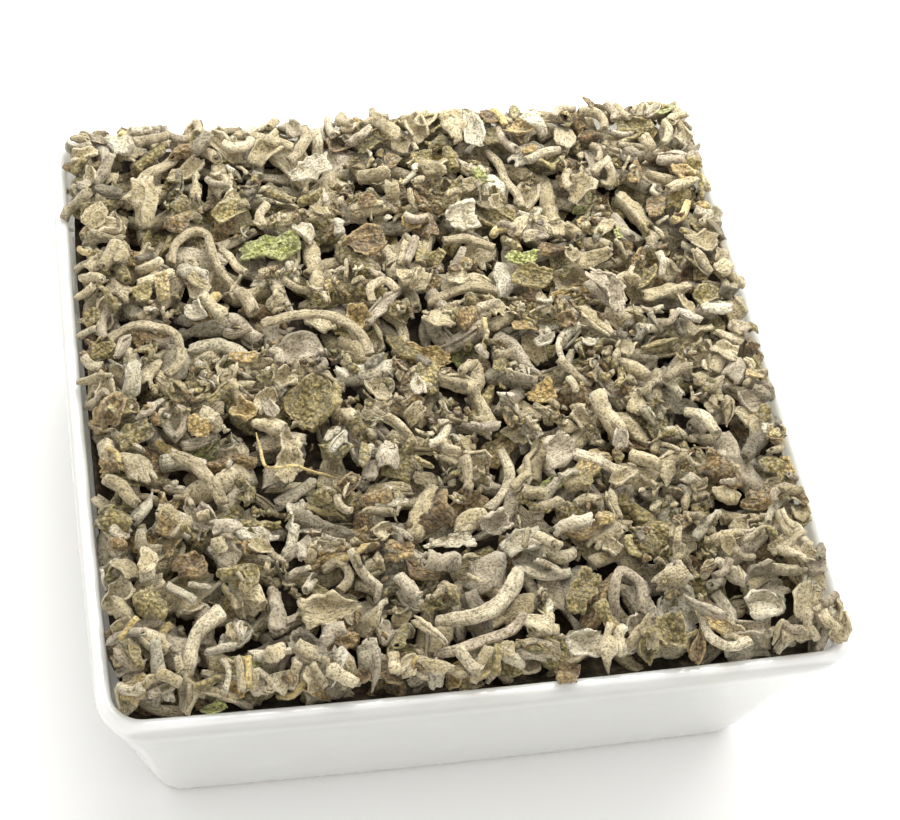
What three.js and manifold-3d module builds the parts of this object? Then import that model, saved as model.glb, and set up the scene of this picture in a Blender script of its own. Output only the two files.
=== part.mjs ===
// A square white glazed dish filled level with dried cut sage: rolled leaf pieces, leaf stalks, flakes
// and crumpled bits. Millimetres, +Z up, origin at the middle of the dish's underside.
import * as THREE from 'three';
import { mergeVertices } from 'three/addons/utils/BufferGeometryUtils.js';
import Module from 'manifold-3d';

// ---------------------------------------------------------------------------------- dish sizes
const RIM_HALF = 50; // half the outside width of the rim
const BASE_HALF = 42.2; // half the outside width at the table
const HEIGHT = 35;
const RIM_WIDTH = 2.1; // across the top of the rim
const LIP_DEPTH = 3; // the upright band under the rim
const WALL = 2.4;
const FLOOR = 3;
const FOOT_WIDTH = 4.2; // the flat ring that the dish stands on
const FOOT_RECESS = 1.2;
const SIDE_BOW = 0.45; // how far each side bulges between its corners
const CORNER_STEPS = 4;
const SIDE_STEPS = 4;

// ---------------------------------------------------------------------------------- fill sizes
const FILL_AT_WALL = 34.9; // height of the herb's top along the walls
const FILL_CROWN = 1.9; // how much higher it is in the middle
const BED_DEPTH = 2.8; // from the herb's top down to the packed mass under it
const ROOTING = 0.5; // how far the packed mass rises over what the pieces rest on
const GAP = 0.3; // clearance between separate solids
const PILE_HALF = 46.9; // half the width that the herb fills at the rim
const PILE_CORNER = 3.4;

// ---------------------------------------------------------------------------------- heap rules
const CELL = 0.5; // side of the square cells that hold the heap's heights
const CELLS = 200; // cells along each side of the grid
const SEED = 20231;
const PIECES = 166; // loose pieces
const TRIES = 14; // places tried for each loose piece
const SINK = 0.3; // how far a loose piece settles into what is under it
const MAX_SLOPE = 0.4; // steepest that a stiff piece lies
const SETTLE = 0.7; // how much of the slope under it a stiff piece takes on
const EDGE_COVER = 0.75; // how far out across a piece the heap is felt, in half widths
const STALK_PASSES = 40; // passes that smooth a long stalk over the hollows
const STALK_DROOP = 0.3; // how much a stalk's free end may bend down at each step
const OUT_COST = 4; // what makes a place unlikely: each millimetre over the wall,
const TAKEN_COST = 1.5; // each point on a piece that stays on top,
const TILT_COST = 0.4; // and each millimetre of tilt

// ---------------------------------------------------------------------------------- piece sizes
const FLAKE_HALF = 0.7; // half the height that a flake takes up
const LEAF_THICK = 0.75;
const LOOSE_THICK = 0.8;
const BROADEN = 1.35; // loose pieces are broader than life, so that they cover the heap
const ROLL_END = 0.22; // how much narrower a piece is at its ends
const STALK_END = 0.12;
const LEAF_END = 0.4;
const FLAKE_END = 0.1;
// The kinds of loose piece: their share, shortest length, least width, bend, and half height in widths.
const LOOSE = {
  roll: { share: 0.45, length: 5.4, width: 2.4, bend: 0.7, half: 0.5 },
  stalk: { share: 0.17, length: 6.4, width: 1.4, bend: 1.4, half: 0.5 },
  curl: { share: 0.23, length: 5, width: 3.2, bend: 0.7, half: 0.38 },
  flake: { share: 0.15, length: 5, width: 3.2, bend: 0.7, half: 0.25 },
};
const MORE_LENGTH = 3.8; // the longest is this much longer than the shortest
const MORE_WIDTH = 1.1;

// ---------------------------------------------------------------------------------- colours
const COLOURS = {
  glaze: { color: 0xeeeeea, roughness: 0.16 },
  felt: { color: 0x9b9380, roughness: 0.95 },
  mauve: { color: 0x958a82, roughness: 0.95 },
  olive: { color: 0x76704c, roughness: 0.9 },
  brown: { color: 0x6a5538, roughness: 0.9 },
  green: { color: 0x8b9150, roughness: 0.9 },
  ochre: { color: 0xa98a4a, roughness: 0.9 },
  pale: { color: 0xc4bda8, roughness: 0.95 },
  straw: { color: 0xb0995a, roughness: 0.85 },
  dark: { color: 0x5a5650, roughness: 0.95 },
};

// The pieces that stand out on the heap. kind: a round roll, a bent stalk, a flat flake, or a curl,
// which is a leaf curled into a gutter. path: its middle line in plan. width: across it. wrap: how far a
// flake or curl goes round, in turns. lift: extra height. The deep ones lie among the loose pieces and
// come first. The top ones lie on the finished heap.
const DEEP = [
  ['roll_left', 'roll', 'pale', [[-32.9, 7.5], [-29, 7.7], [-25.3, 5.6]], 3],
  ['roll_upright_back', 'roll', 'felt', [[-14.6, 26], [-13.8, 20.6], [-14.5, 15.4]], 2.8],
  ['roll_back_right', 'roll', 'felt', [[22.9, 35.6], [22.1, 30.6], [22.4, 25.7]], 2.8],
  ['roll_right_wall', 'roll', 'felt', [[41.6, 24], [44, 25.5], [46, 26.2]], 3],
  ['roll_thick_back', 'roll', 'felt', [[33.2, 29.9], [34.8, 27.2], [36.4, 24.3]], 4],
  ['roll_bone', 'roll', 'mauve', [[10, 6.2], [12, 3.4], [12.8, 1.2], [14.9, -1.4]], 3],
  ['roll_centre', 'roll', 'felt', [[6.4, 1.2], [5.5, -4], [6.4, -9.4]], 2.8],
  ['roll_golden', 'roll', 'brown', [[-32, -11.7], [-28.8, -11.4], [-25.6, -11.9]], 2.6],
  ['tube_tan', 'roll', 'felt', [[-11.6, -17.7], [-8.6, -17.5], [-5.5, -17.9]], 2.7],
  ['cocoon_large', 'roll', 'felt', [[-7, -26], [-4.9, -22.3], [-2.9, -18.6]], 4.6],
  ['cocoon_small', 'roll', 'felt', [[-1.2, -25.7], [0.7, -24.4], [3.2, -23.5]], 3.6],
  ['roll_dark', 'roll', 'dark', [[-21.7, -21], [-17.8, -23.2], [-13.9, -25.7]], 3],
  ['tube_cream', 'roll', 'pale', [[-23.9, -27.6], [-22.9, -25.3], [-22.2, -22.9]], 2.2],
  ['roll_greenish', 'roll', 'olive', [[-29, -21.4], [-26.5, -21.9], [-24, -21.7]], 2.5],
  ['roll_slanting', 'roll', 'felt', [[23.8, -8.8], [26, -11], [27.8, -13.6]], 3],
  ['roll_great', 'roll', 'mauve', [[38.3, -13.6], [39.7, -18.7], [41.6, -23.8]], 3.8],
  ['roll_tan_green', 'roll', 'olive', [[21.8, -22.6], [24.3, -25.9], [26.6, -29]], 3],
  ['roll_long_right', 'roll', 'felt', [[35.4, -26.1], [39.8, -26.7], [44.2, -26.5]], 2.5],
  ['roll_curved_front', 'roll', 'pale', [[31.6, -38.2], [32.9, -42], [32, -46]], 2.9],
  ['roll_broad', 'roll', 'felt', [[-0.3, -31.6], [1.6, -33.8], [3.2, -36]], 4.4],
  ['roll_corner', 'roll', 'mauve', [[-44.9, -39.4], [-44.3, -42.6], [-41.4, -44.6]], 3.7],
  ['roll_arched', 'roll', 'dark', [[-30, -41], [-26.6, -39.2], [-24, -39.2], [-21.4, -41.3]], 2.8],
  ['roll_mauve_front', 'roll', 'mauve', [[-26, -38.6], [-25.7, -35.3], [-25.9, -31.9]], 2.8],
  ['cup_left', 'curl', 'olive', [[-19, -6.6], [-17, -4.1], [-15.4, -1.4]], 6, 0.4],
  ['cup_round', 'curl', 'mauve', [[36.7, -38.6], [38.7, -37.2], [40.7, -36]], 5, 0.4],
  ['curl_right', 'curl', 'mauve', [[27.6, -4.4], [30.1, -2.9], [32.6, -1]], 3.6, 0.6],
  ['leaf_crumpled', 'curl', 'mauve', [[-20, 4.4], [-17.4, 6], [-14.6, 6.7]], 4.4, 0.5],
  ['flake_on_rim', 'flake', 'brown', [[9.9, -45.8], [9.6, -47.7], [9.4, -49.5]], 3, 0.1],
];
const TOP = [
  ['flake_green', 'flake', 'green', [[-24.2, 23.2], [-20, 23.7], [-15.6, 22.9]], 3.8, 0.12],
  ['flake_brown_back', 'flake', 'brown', [[-9, 21.4], [-6.3, 22.4], [-3.6, 23.6]], 4.6, 0.12],
  ['flake_ochre', 'flake', 'ochre', [[-10.9, 8.8], [-9.3, 9.6], [-7.8, 10.6]], 3.6, 0.08],
  ['flake_pale_back', 'flake', 'pale', [[-15.2, 35.6], [-12.4, 36.7], [-9.5, 37.4]], 3.8, 0.15],
  ['flake_gold_mid', 'flake', 'olive', [[13.6, 14.8], [16.6, 14.2], [19.6, 13.8]], 3.5, 0.12],
  ['flake_crescent', 'flake', 'ochre', [[-3.4, 5.4], [0, 4.2], [3.3, 2.7]], 2.6, 0.2],
  ['flake_front_green', 'flake', 'olive', [[12, -39.4], [13.7, -36.6], [15.6, -33.8]], 4, 0.12],
  ['flake_boat', 'curl', 'pale', [[9.8, -44.9], [12.6, -44.6], [15.4, -43.9]], 2.8, 0.45],
  ['leaf_tilted', 'curl', 'felt', [[-22.6, -17], [-21.7, -13.4], [-20.6, -9.8]], 2.8, 0.45],
  ['petiole_ring', 'stalk', 'felt', [
    [-46.4, 2.9], [-45.8, 6.6], [-43.4, 9.6], [-40.1, 10.9], [-36.7, 10.2], [-34.4, 7.8], [-34.2, 5],
    [-36.4, 2.2]], 1.4, 0, 0.6],
  ['petiole_long_arc', 'stalk', 'felt', [
    [-22.7, 8.8], [-18.4, 9.9], [-13.4, 8.8], [-9.9, 6.2], [-8.9, 2]], 1.4],
  ['petiole_loop', 'stalk', 'felt', [
    [-34.1, 22], [-33, 24.9], [-30.6, 27], [-28.6, 26.6], [-28.2, 23.4], [-27.5, 20.6], [-25, 17.6]],
    1.4, 0, 0.3],
  ['petiole_bent', 'stalk', 'felt', [[-25.4, 15.8], [-24.2, 13.9], [-23.4, 11.6]], 2],
  ['petiole_back_left', 'stalk', 'felt', [
    [-37.5, 33.5], [-36.5, 37.5], [-33.2, 39.7], [-31, 43], [-30.3, 46.2]], 1.6],
  ['petiole_back', 'stalk', 'felt', [[-22.7, 45], [-18.6, 43.3], [-14.5, 40.6]], 1.6],
  ['stalk_back', 'stalk', 'felt', [[14.8, 39.9], [16.6, 34.1], [18, 28.4]], 1.4],
  ['petiole_mid', 'stalk', 'felt', [[5, 22.2], [8.8, 22.2], [12.3, 20.8]], 1.5],
  ['petiole_mid_low', 'stalk', 'felt', [[1.2, 12.4], [6, 13.4], [11.2, 13.2]], 1.6],
  ['petiole_front', 'stalk', 'pale', [
    [7.4, -13], [7.8, -16.6], [6.6, -19.9], [3.8, -22.4]], 1.5],
  ['petiole_curved_right', 'stalk', 'pale', [[33.6, -10.4], [35.9, -11.9], [37, -14.8]], 1.7],
  ['petiole_hook_left', 'stalk', 'felt', [
    [-45.8, -9.6], [-42.7, -8.4], [-40.6, -10.2], [-41, -13.7]], 1.3],
  ['petiole_curl_left', 'stalk', 'felt', [[-37, -11], [-34.5, -13], [-32.4, -16.6], [-31, -19.4]], 1.8],
  ['arc_thick_front', 'stalk', 'pale', [
    [-6.3, -39.6], [-0.6, -39.7], [4.2, -36.6], [5.8, -32.8]], 2.6],
  ['arc_lower_front', 'stalk', 'mauve', [[-7.2, -44], [-2, -43.3], [3, -41.8], [5.2, -39.6]], 1.8],
  ['hairpin_front', 'stalk', 'mauve', [
    [17.4, -41], [17.6, -37.4], [19.2, -34.6], [21.2, -36.4], [20.8, -40.4]], 1.5],
  ['hook_front_right', 'stalk', 'pale', [
    [28.2, -41.6], [28.7, -44.8], [30.6, -47], [33.6, -46.6]], 1.4],
  ['stalk_flared', 'stalk', 'pale', [
    [-38.8, -46.4], [-38.1, -43], [-36.6, -38.7], [-33.3, -35]], 1.9],
  ['stalk_forked_left', 'stalk', 'pale', [[-46.2, -18.7], [-45.4, -22], [-44, -25.2]], 1.6],
  ['straw_long', 'stalk', 'straw', [
    [-25.6, -8.7], [-25.4, -12.4], [-25, -15.6], [-20, -15.8], [-14.9, -15.3]], 0.9],
  ['stalk_tilted_back', 'stalk', 'pale', [[-10.6, 40.6], [-10.7, 43.6], [-10.4, 46.4]], 1.8, 0, 1.2],
];

// ---------------------------------------------------------------------------------- solids
const wasm = await Module();
wasm.setup();

/** A merged, closed triangle list as a solid, facing out. */
function solidOf(points, faces) {
  const geometry = new THREE.BufferGeometry();
  geometry.setAttribute('position', new THREE.Float32BufferAttribute(points.flat(), 3));
  geometry.setIndex(faces.flat());
  const merged = mergeVertices(geometry, 1e-4);
  return new wasm.Manifold(new wasm.Mesh({
    numProp: 3,
    vertProperties: merged.attributes.position.array,
    triVerts: new Uint32Array(merged.index.array),
  }));
}

/** The largest body of a solid, without loose scraps. */
function largest(solid) {
  const bodies = solid.decompose();
  bodies.sort((a, b) => b.volume() - a.volume());
  return bodies[0];
}

/** A solid as a named mesh. */
function meshOf(name, solid, finish) {
  const { numProp, vertProperties, triVerts } = solid.getMesh();
  const positions = [];
  for (let i = 0; i < vertProperties.length; i += numProp) {
    positions.push(vertProperties[i], vertProperties[i + 1], vertProperties[i + 2]);
  }
  const geometry = new THREE.BufferGeometry();
  geometry.setAttribute('position', new THREE.Float32BufferAttribute(positions, 3));
  geometry.setIndex(Array.from(triVerts));
  geometry.computeVertexNormals();
  const material = new THREE.MeshStandardMaterial({ metalness: 0, ...COLOURS[finish] });
  const mesh = new THREE.Mesh(geometry, material);
  mesh.name = name;
  return mesh;
}

/** A ring of points round a square with rounded corners and slightly bowed sides, anticlockwise. */
function squareRing(half, radius, z, bow = SIDE_BOW) {
  const corner = half - bow - radius;
  const ring = [];
  for (let side = 0; side < 4; side += 1) {
    const turn = (side * Math.PI) / 2;
    const place = (u, v) => {
      const x = u * Math.cos(turn) - v * Math.sin(turn);
      const y = u * Math.sin(turn) + v * Math.cos(turn);
      ring.push([x, y, typeof z === 'function' ? z(x, y) : z]);
    };
    for (let k = 1; k < SIDE_STEPS; k += 1) {
      const t = (2 * k) / SIDE_STEPS - 1;
      place(half - bow * t * t, corner * t);
    }
    for (let k = 0; k <= CORNER_STEPS; k += 1) {
      const angle = ((k / CORNER_STEPS) * Math.PI) / 2;
      place(corner + radius * Math.cos(angle), corner + radius * Math.sin(angle));
    }
  }
  return ring;
}

/** The closed skin through a stack of rings, from a point under the first to a point over the last. */
function loft(rings, bottom, top) {
  const count = rings[0].length;
  const points = [...rings.flat(), bottom, top];
  const faces = [];
  for (let k = 0; k < count; k += 1) {
    const next = (k + 1) % count;
    faces.push([points.length - 2, next, k]);
    for (let r = 0; r < rings.length - 1; r += 1) {
      const a = r * count;
      faces.push([a + k, a + next, a + count + next], [a + k, a + count + next, a + count + k]);
    }
    const last = (rings.length - 1) * count;
    faces.push([last + k, last + next, points.length - 1]);
  }
  return solidOf(points, faces);
}

/** The dish: foot ring, tapered walls, upright lip with a rounded top, and the hollow. */
function makeDish() {
  const lip = HEIGHT - LIP_DEPTH;
  const inside = RIM_HALF - RIM_WIDTH;
  const foot = BASE_HALF - 0.9;
  const rings = [
    squareRing(foot - FOOT_WIDTH - 0.6, 3, FOOT_RECESS),
    squareRing(foot - FOOT_WIDTH, 3.2, 0),
    squareRing(foot, 3.4, 0),
    squareRing(BASE_HALF - 0.2, 3.7, 0.4),
    squareRing(BASE_HALF + 0.1, 4, 1.2),
    squareRing(BASE_HALF + 3.4, 4.9, lip / 2),
    squareRing(RIM_HALF - 0.75, 5.9, lip - 1),
    squareRing(RIM_HALF - 0.2, 6, lip),
    squareRing(RIM_HALF, 6, lip + 0.9),
    squareRing(RIM_HALF, 6, HEIGHT - 0.8),
    squareRing(RIM_HALF - 0.2, 5.9, HEIGHT - 0.3),
    squareRing(RIM_HALF - 0.7, 5.6, HEIGHT),
    squareRing(inside + 0.7, 4.7, HEIGHT),
    squareRing(inside + 0.2, 4.2, HEIGHT - 0.3),
    squareRing(inside, 4, HEIGHT - 0.9),
    squareRing(inside - 0.3, 4, lip - 0.5),
    squareRing(BASE_HALF - WALL + 0.9, 3.6, FLOOR + 2),
    squareRing(BASE_HALF - WALL - 0.2, 3.2, FLOOR + 0.5),
    squareRing(BASE_HALF - WALL - 1.6, 2.6, FLOOR),
  ];
  return loft(rings, [0, 0, FOOT_RECESS], [0, 0, FLOOR]);
}

/** Height of the herb's top at a place, as levelled and slightly heaped. */
function fillTop(x, y) {
  const reach = RIM_HALF - RIM_WIDTH;
  const across = 1 - (x / reach) ** 4;
  const along = 1 - (y / reach) ** 4;
  return FILL_AT_WALL + FILL_CROWN * Math.max(0, across) * Math.max(0, along);
}

/** The packed mass under the visible pieces, clear of the dish's walls and floor. */
function makePackedMass() {
  const level = (x, y) => fillTop(x, y) - BED_DEPTH + ROOTING;
  const rings = [
    squareRing(BASE_HALF - WALL - 2.4, 2.2, FLOOR + GAP),
    squareRing(BASE_HALF - WALL - 0.6, 2.8, FLOOR + GAP + 0.8),
    squareRing(PILE_HALF, PILE_CORNER, FILL_AT_WALL - 3.4),
    squareRing(PILE_HALF, PILE_CORNER, level),
  ];
  for (const share of [0.86, 0.62, 0.3]) {
    rings.push(squareRing(PILE_HALF * share, PILE_CORNER * share, level, SIDE_BOW * share));
  }
  return loft(rings, [0, 0, FLOOR + GAP], [0, 0, level(0, 0)]);
}

// ---------------------------------------------------------------------------------- piece shapes
/** A smooth line through plan points, cut into equal steps. */
function smoothPath(path, steps) {
  const curve = new THREE.CatmullRomCurve3(path.map(([x, y]) => new THREE.Vector3(x, y, 0)));
  return curve.getSpacedPoints(steps).map((p) => [p.x, p.y]);
}

/** The side and up directions along a line, rolled about it. */
function framesOf(line, roll) {
  return line.map((point, i) => {
    const before = new THREE.Vector3(...line[Math.max(0, i - 1)]);
    const after = new THREE.Vector3(...line[Math.min(line.length - 1, i + 1)]);
    const ahead = after.sub(before).normalize();
    const side = new THREE.Vector3(0, 0, 1).cross(ahead).normalize().applyAxisAngle(ahead, roll);
    return { at: new THREE.Vector3(...point), ahead, side, up: ahead.clone().cross(side) };
  });
}

/** A round rod along a line, fullest at its middle, with blunt domed ends. */
function rod(line, radius, { sides, waist = 0, grow = 0, phase = 0, spread = 1, blunt = false }) {
  const frames = framesOf(line, 0);
  const points = [];
  const faces = [];
  const last = frames.length - 1;
  frames.forEach(({ at, ahead, side, up }, i) => {
    const t = (2 * i) / last - 1;
    const r = radius * (1 - waist * t * t) + grow;
    const reach = grow * (i === 0 ? -1 : Number(i === last));
    for (let k = 0; k < sides; k += 1) {
      const angle = phase + (2 * Math.PI * k) / sides;
      const p = at.clone().addScaledVector(side, spread * r * Math.cos(angle));
      points.push(p.addScaledVector(up, r * Math.sin(angle)).addScaledVector(ahead, reach).toArray());
    }
  });
  if (!blunt) {
    const tip = (frame, way) => frame.at.clone().addScaledVector(frame.ahead, way).toArray();
    points.push(tip(frames[0], -0.25 * radius - grow), tip(frames[last], 0.25 * radius + grow));
  }
  for (let k = 0; k < sides; k += 1) {
    const next = (k + 1) % sides;
    for (let i = 0; i < last; i += 1) {
      const a = i * sides;
      faces.push([a + k, a + sides + next, a + next], [a + k, a + sides + k, a + sides + next]);
    }
    if (!blunt) {
      faces.push([points.length - 2, k, next], [last * sides + next, last * sides + k, points.length - 1]);
    } else if (k > 0 && next > 0) {
      faces.push([0, k, next], [last * sides + next, last * sides + k, last * sides]);
    }
  }
  return facingOut(points, faces);
}

/** A leaf piece: a thin sheet along a line, bent to an arc of `wrap` turns across it. */
function sheet(line, width, { wrap, thick, steps, roll = 0, taper = 0.35, grow = 0 }) {
  const frames = framesOf(line, roll);
  const points = [];
  const faces = [];
  const last = frames.length - 1;
  const row = 2 * (steps + 1);
  frames.forEach(({ at, ahead, side, up }, i) => {
    const t = (2 * i) / last - 1;
    const span = Math.max(0.04, wrap) * 2 * Math.PI;
    const bent = Math.min(span, Math.PI) / 2;
    const radius = (width * (1 - taper * t * t)) / (2 * Math.sin(bent));
    const drop = 0.5 * radius * (1 + Math.cos(bent));
    const reach = grow * (i === 0 ? -1 : Number(i === last));
    for (const face of [1, -1]) {
      for (let k = 0; k <= steps; k += 1) {
        const angle = (k / steps - 0.5) * (span + (2 * grow) / radius);
        const r = radius + face * (thick / 2 + grow);
        const p = at.clone().addScaledVector(side, r * Math.sin(angle));
        p.addScaledVector(up, r * Math.cos(angle) - drop);
        points.push(p.addScaledVector(ahead, reach).toArray());
      }
    }
  });
  const quad = (a, b, c, d) => faces.push([a, b, c], [a, c, d]);
  for (let k = 0; k < steps; k += 1) {
    const under = steps + 1 + k;
    quad(k, k + 1, under + 1, under);
    quad(last * row + k + 1, last * row + k, last * row + under, last * row + under + 1);
  }
  for (let i = 0; i < last; i += 1) {
    const a = i * row;
    for (let k = 0; k < steps; k += 1) {
      const under = a + steps + 1 + k;
      quad(a + k, a + row + k, a + row + k + 1, a + k + 1);
      quad(under, under + 1, under + row + 1, under + row);
    }
    quad(a, a + steps + 1, a + row + steps + 1, a + row);
    quad(a + steps, a + row + steps, a + row + row - 1, a + row - 1);
  }
  return facingOut(points, faces);
}

/** A solid from points and faces, turned round if its faces point inwards. */
function facingOut(points, faces) {
  const made = solidOf(points, faces);
  return made.volume() > 0 ? made : solidOf(points, faces.map(([a, b, c]) => [a, c, b]));
}

// ---------------------------------------------------------------------------------- the heap
/** Heights over the dish on a grid of square cells, which each piece raises as it lands. */
class Heap {
  constructor() {
    this.z = new Float64Array(CELLS * CELLS);
    this.taken = new Uint8Array(CELLS * CELLS);
    for (let j = 0; j < CELLS; j += 1) {
      for (let i = 0; i < CELLS; i += 1) {
        const [x, y] = this.place(i, j);
        const onRim = Math.max(Math.abs(x), Math.abs(y)) > RIM_HALF - RIM_WIDTH;
        this.z[j * CELLS + i] = onRim ? HEIGHT : fillTop(x, y) - BED_DEPTH;
      }
    }
  }

  place(i, j) {
    return [(i + 0.5 - CELLS / 2) * CELL, (j + 0.5 - CELLS / 2) * CELL];
  }

  index(x, y) {
    const i = Math.min(CELLS - 1, Math.max(0, Math.floor(x / CELL + CELLS / 2)));
    const j = Math.min(CELLS - 1, Math.max(0, Math.floor(y / CELL + CELLS / 2)));
    return j * CELLS + i;
  }

  /** The height that the middle of a round piece needs over one point of its line. */
  need(x, y, sideX, sideY, half) {
    let height = -1e9;
    for (const v of [-EDGE_COVER, 0, EDGE_COVER]) {
      const z = this.z[this.index(x + v * half * sideX, y + v * half * sideY)];
      height = Math.max(height, z + half * Math.sqrt(1 - v * v));
    }
    return height;
  }

  /** Raises the cells under a landed piece to its top. */
  raise(line, half, taken) {
    for (let i = 0; i < line.length - 1; i += 1) {
      const [ax, ay, az] = line[i];
      const [bx, by, bz] = line[i + 1];
      const run = Math.hypot(bx - ax, by - ay);
      const count = Math.max(1, Math.ceil(run / (0.5 * CELL)));
      for (let k = 0; k <= count; k += 1) {
        const t = k / count;
        for (let v = -half; v <= half; v += 0.5 * CELL) {
          const x = ax + (bx - ax) * t - ((by - ay) / run) * v;
          const y = ay + (by - ay) * t + ((bx - ax) / run) * v;
          const top = az + (bz - az) * t + Math.sqrt(Math.max(0, half * half - v * v));
          const cell = this.index(x, y);
          this.z[cell] = Math.max(this.z[cell], top);
          this.taken[cell] |= taken;
        }
      }
    }
  }
}

/** The needed heights along a plan line. */
function needsOf(heap, plan, half) {
  return plan.map(([x, y], i) => {
    const [bx, by] = plan[Math.max(0, i - 1)];
    const [ax, ay] = plan[Math.min(plan.length - 1, i + 1)];
    const run = Math.hypot(ax - bx, ay - by);
    return heap.need(x, y, -(ay - by) / run, (ax - bx) / run, half);
  });
}

/** Lays a stiff straight piece on the heap: it tilts with what is under it and rests at its highest. */
function layStiff(heap, plan, half, sink) {
  const needs = needsOf(heap, plan, half);
  const last = plan.length - 1;
  const reach = Math.hypot(plan[last][0] - plan[0][0], plan[last][1] - plan[0][1]);
  const middle = last / 2;
  let lean = 0;
  let spread = 0;
  needs.forEach((z, i) => {
    lean += (i - middle) * z;
    spread += (i - middle) ** 2;
  });
  const limit = (MAX_SLOPE * reach) / last;
  const step = Math.max(-limit, Math.min(limit, (SETTLE * lean) / spread));
  const base = Math.max(...needs.map((z, i) => z - step * (i - middle))) - sink;
  return plan.map(([x, y], i) => [x, y, base + step * (i - middle)]);
}

/** Lays a long bent stalk over the heap: it bridges the hollows between the places it touches. */
function layStalk(heap, plan, half, clear, lift) {
  const z = needsOf(heap, plan, half).map((need) => need + clear);
  const last = plan.length - 1;
  for (let pass = 0; pass < STALK_PASSES; pass += 1) {
    for (let i = 1; i < last; i += 1) {
      z[i] = Math.max(z[i], (z[i - 1] + z[i + 1]) / 2);
    }
    z[0] = Math.max(z[0], 2 * z[1] - z[2] - STALK_DROOP);
    z[last] = Math.max(z[last], 2 * z[last - 1] - z[last - 2] - STALK_DROOP);
  }
  return plan.map(([x, y], i) => [x, y, z[i] + lift * Math.sin((Math.PI * i) / last)]);
}

// ---------------------------------------------------------------------------------- named pieces
/** A named piece's solid, or with `grow` a slightly larger and simpler one that clears its bed. */
function namedSolid(piece, grow) {
  const { kind, line, width, wrap } = piece;
  if (kind === 'roll' && grow) return rod(line, 0.58 * width, { sides: 6, waist: 0.2, grow });
  if (kind === 'roll') return rod(line, width / 2, { sides: 8, waist: ROLL_END, phase: 0.2 });
  if (kind === 'stalk') return rod(line, width / 2, { sides: 5, waist: STALK_END, grow });
  const steps = kind === 'curl' ? 5 : 4;
  return sheet(line, width, { wrap, thick: LEAF_THICK, steps, taper: LEAF_END, grow });
}

/** Lays one named piece and marks where it lies. */
function layNamed(heap, [name, kind, finish, path, width, wrap = 0, lift = 0], deep) {
  const steps = kind === 'stalk' ? 2 * path.length : 3;
  const plan = smoothPath(path, steps);
  const flat = kind === 'flake' || kind === 'curl';
  const half = kind === 'flake' ? FLAKE_HALF : width / 2;
  const clear = GAP + 0.2;
  const line = kind === 'stalk'
    ? layStalk(heap, plan, half, clear, lift)
    : layStiff(heap, plan, half, deep && kind !== 'flake' ? 0 : -clear);
  heap.raise(line, flat ? width / 2 : half, deep ? 1 : 0);
  return { name, kind, finish, line, width, wrap };
}

// ---------------------------------------------------------------------------------- loose pieces
/** Repeatable draws from 0 to 1. */
function drawsFrom(seed) {
  let state = seed;
  return () => {
    state = (state * 48271) % 2147483647;
    return state / 2147483647;
  };
}

/** A bent plan line of a given length about a middle point. */
function bentPlan(x, y, yaw, length, bend, steps) {
  const plan = [];
  for (let i = 0; i <= steps; i += 1) {
    const s = i / steps - 0.5;
    const across = bend * length * (0.25 - s * s);
    plan.push([
      x + s * length * Math.cos(yaw) - across * Math.sin(yaw),
      y + s * length * Math.sin(yaw) + across * Math.cos(yaw),
    ]);
  }
  return plan;
}

/** The kind of loose piece that a draw picks, by their shares. */
function pickKind(pick) {
  let sum = 0;
  return Object.keys(LOOSE).find((kind) => {
    sum += LOOSE[kind].share;
    return pick < sum;
  });
}

/** How unlikely a place is: high up, over the wall, over a piece that stays on top, or tilted. */
function placeCost(heap, plan, line, half, width) {
  const [x, y, z] = line[1];
  const reach = Math.max(...plan.flat().map(Math.abs)) + 0.4 * width;
  let cost = z - fillTop(x, y) + OUT_COST * Math.max(0, reach - PILE_HALF);
  for (const [px, py] of plan) {
    cost += TAKEN_COST * heap.taken[heap.index(px, py)];
    cost += TILT_COST * Math.abs(z - heap.need(px, py, 0, 0, half));
  }
  return cost;
}

/** Drops one loose piece where the heap is lowest among the places tried. */
function dropLoose(heap, draw) {
  const kind = pickKind(draw());
  const sizes = LOOSE[kind];
  const length = sizes.length + MORE_LENGTH * draw() ** 2;
  const width = sizes.width + MORE_WIDTH * draw();
  const bend = (draw() - 0.5) * sizes.bend;
  const half = sizes.half * width;
  let best = null;
  for (let k = 0; k < TRIES; k += 1) {
    const x = (2 * draw() - 1) * (PILE_HALF - 1.4);
    const y = (2 * draw() - 1) * (PILE_HALF - 1.4);
    const plan = bentPlan(x, y, Math.PI * draw(), length, bend, 2);
    const line = layStiff(heap, plan, half, SINK);
    const cost = placeCost(heap, plan, line, half, width);
    if (!best || cost < best.cost) best = { cost, line };
  }
  const turn = draw();
  const wrap = kind === 'curl' ? 0.4 + 0.25 * turn : 0.1 + 0.1 * turn;
  heap.raise(best.line, kind === 'flake' ? 0.4 * width : half, 0);
  return { kind, line: best.line, width, wrap, turn };
}

/** A loose piece's solid, with few sides. */
function looseSolid({ kind, line, width, wrap, turn }) {
  const ends = [line[0], line[2]];
  const round = { waist: STALK_END, phase: turn, spread: BROADEN, blunt: true };
  if (kind === 'roll') return rod(ends, width / 2, { sides: 5, ...round });
  if (kind === 'stalk') return rod(line, width / 2, { sides: 4, ...round });
  const leaf = { thick: LOOSE_THICK, steps: 2, wrap, roll: (turn - 0.5) * 0.9 };
  if (kind === 'curl') return sheet(line, BROADEN * width, { ...leaf, taper: LEAF_END });
  return sheet(ends, BROADEN * width, { ...leaf, taper: FLAKE_END });
}

// ---------------------------------------------------------------------------------- assembly
const heap = new Heap();
const deepPieces = DEEP.map((entry) => layNamed(heap, entry, true));
const draw = drawsFrom(SEED);
const loosePieces = Array.from({ length: PIECES }, () => dropLoose(heap, draw));
const topPieces = TOP.map((entry) => layNamed(heap, entry, false));

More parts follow.
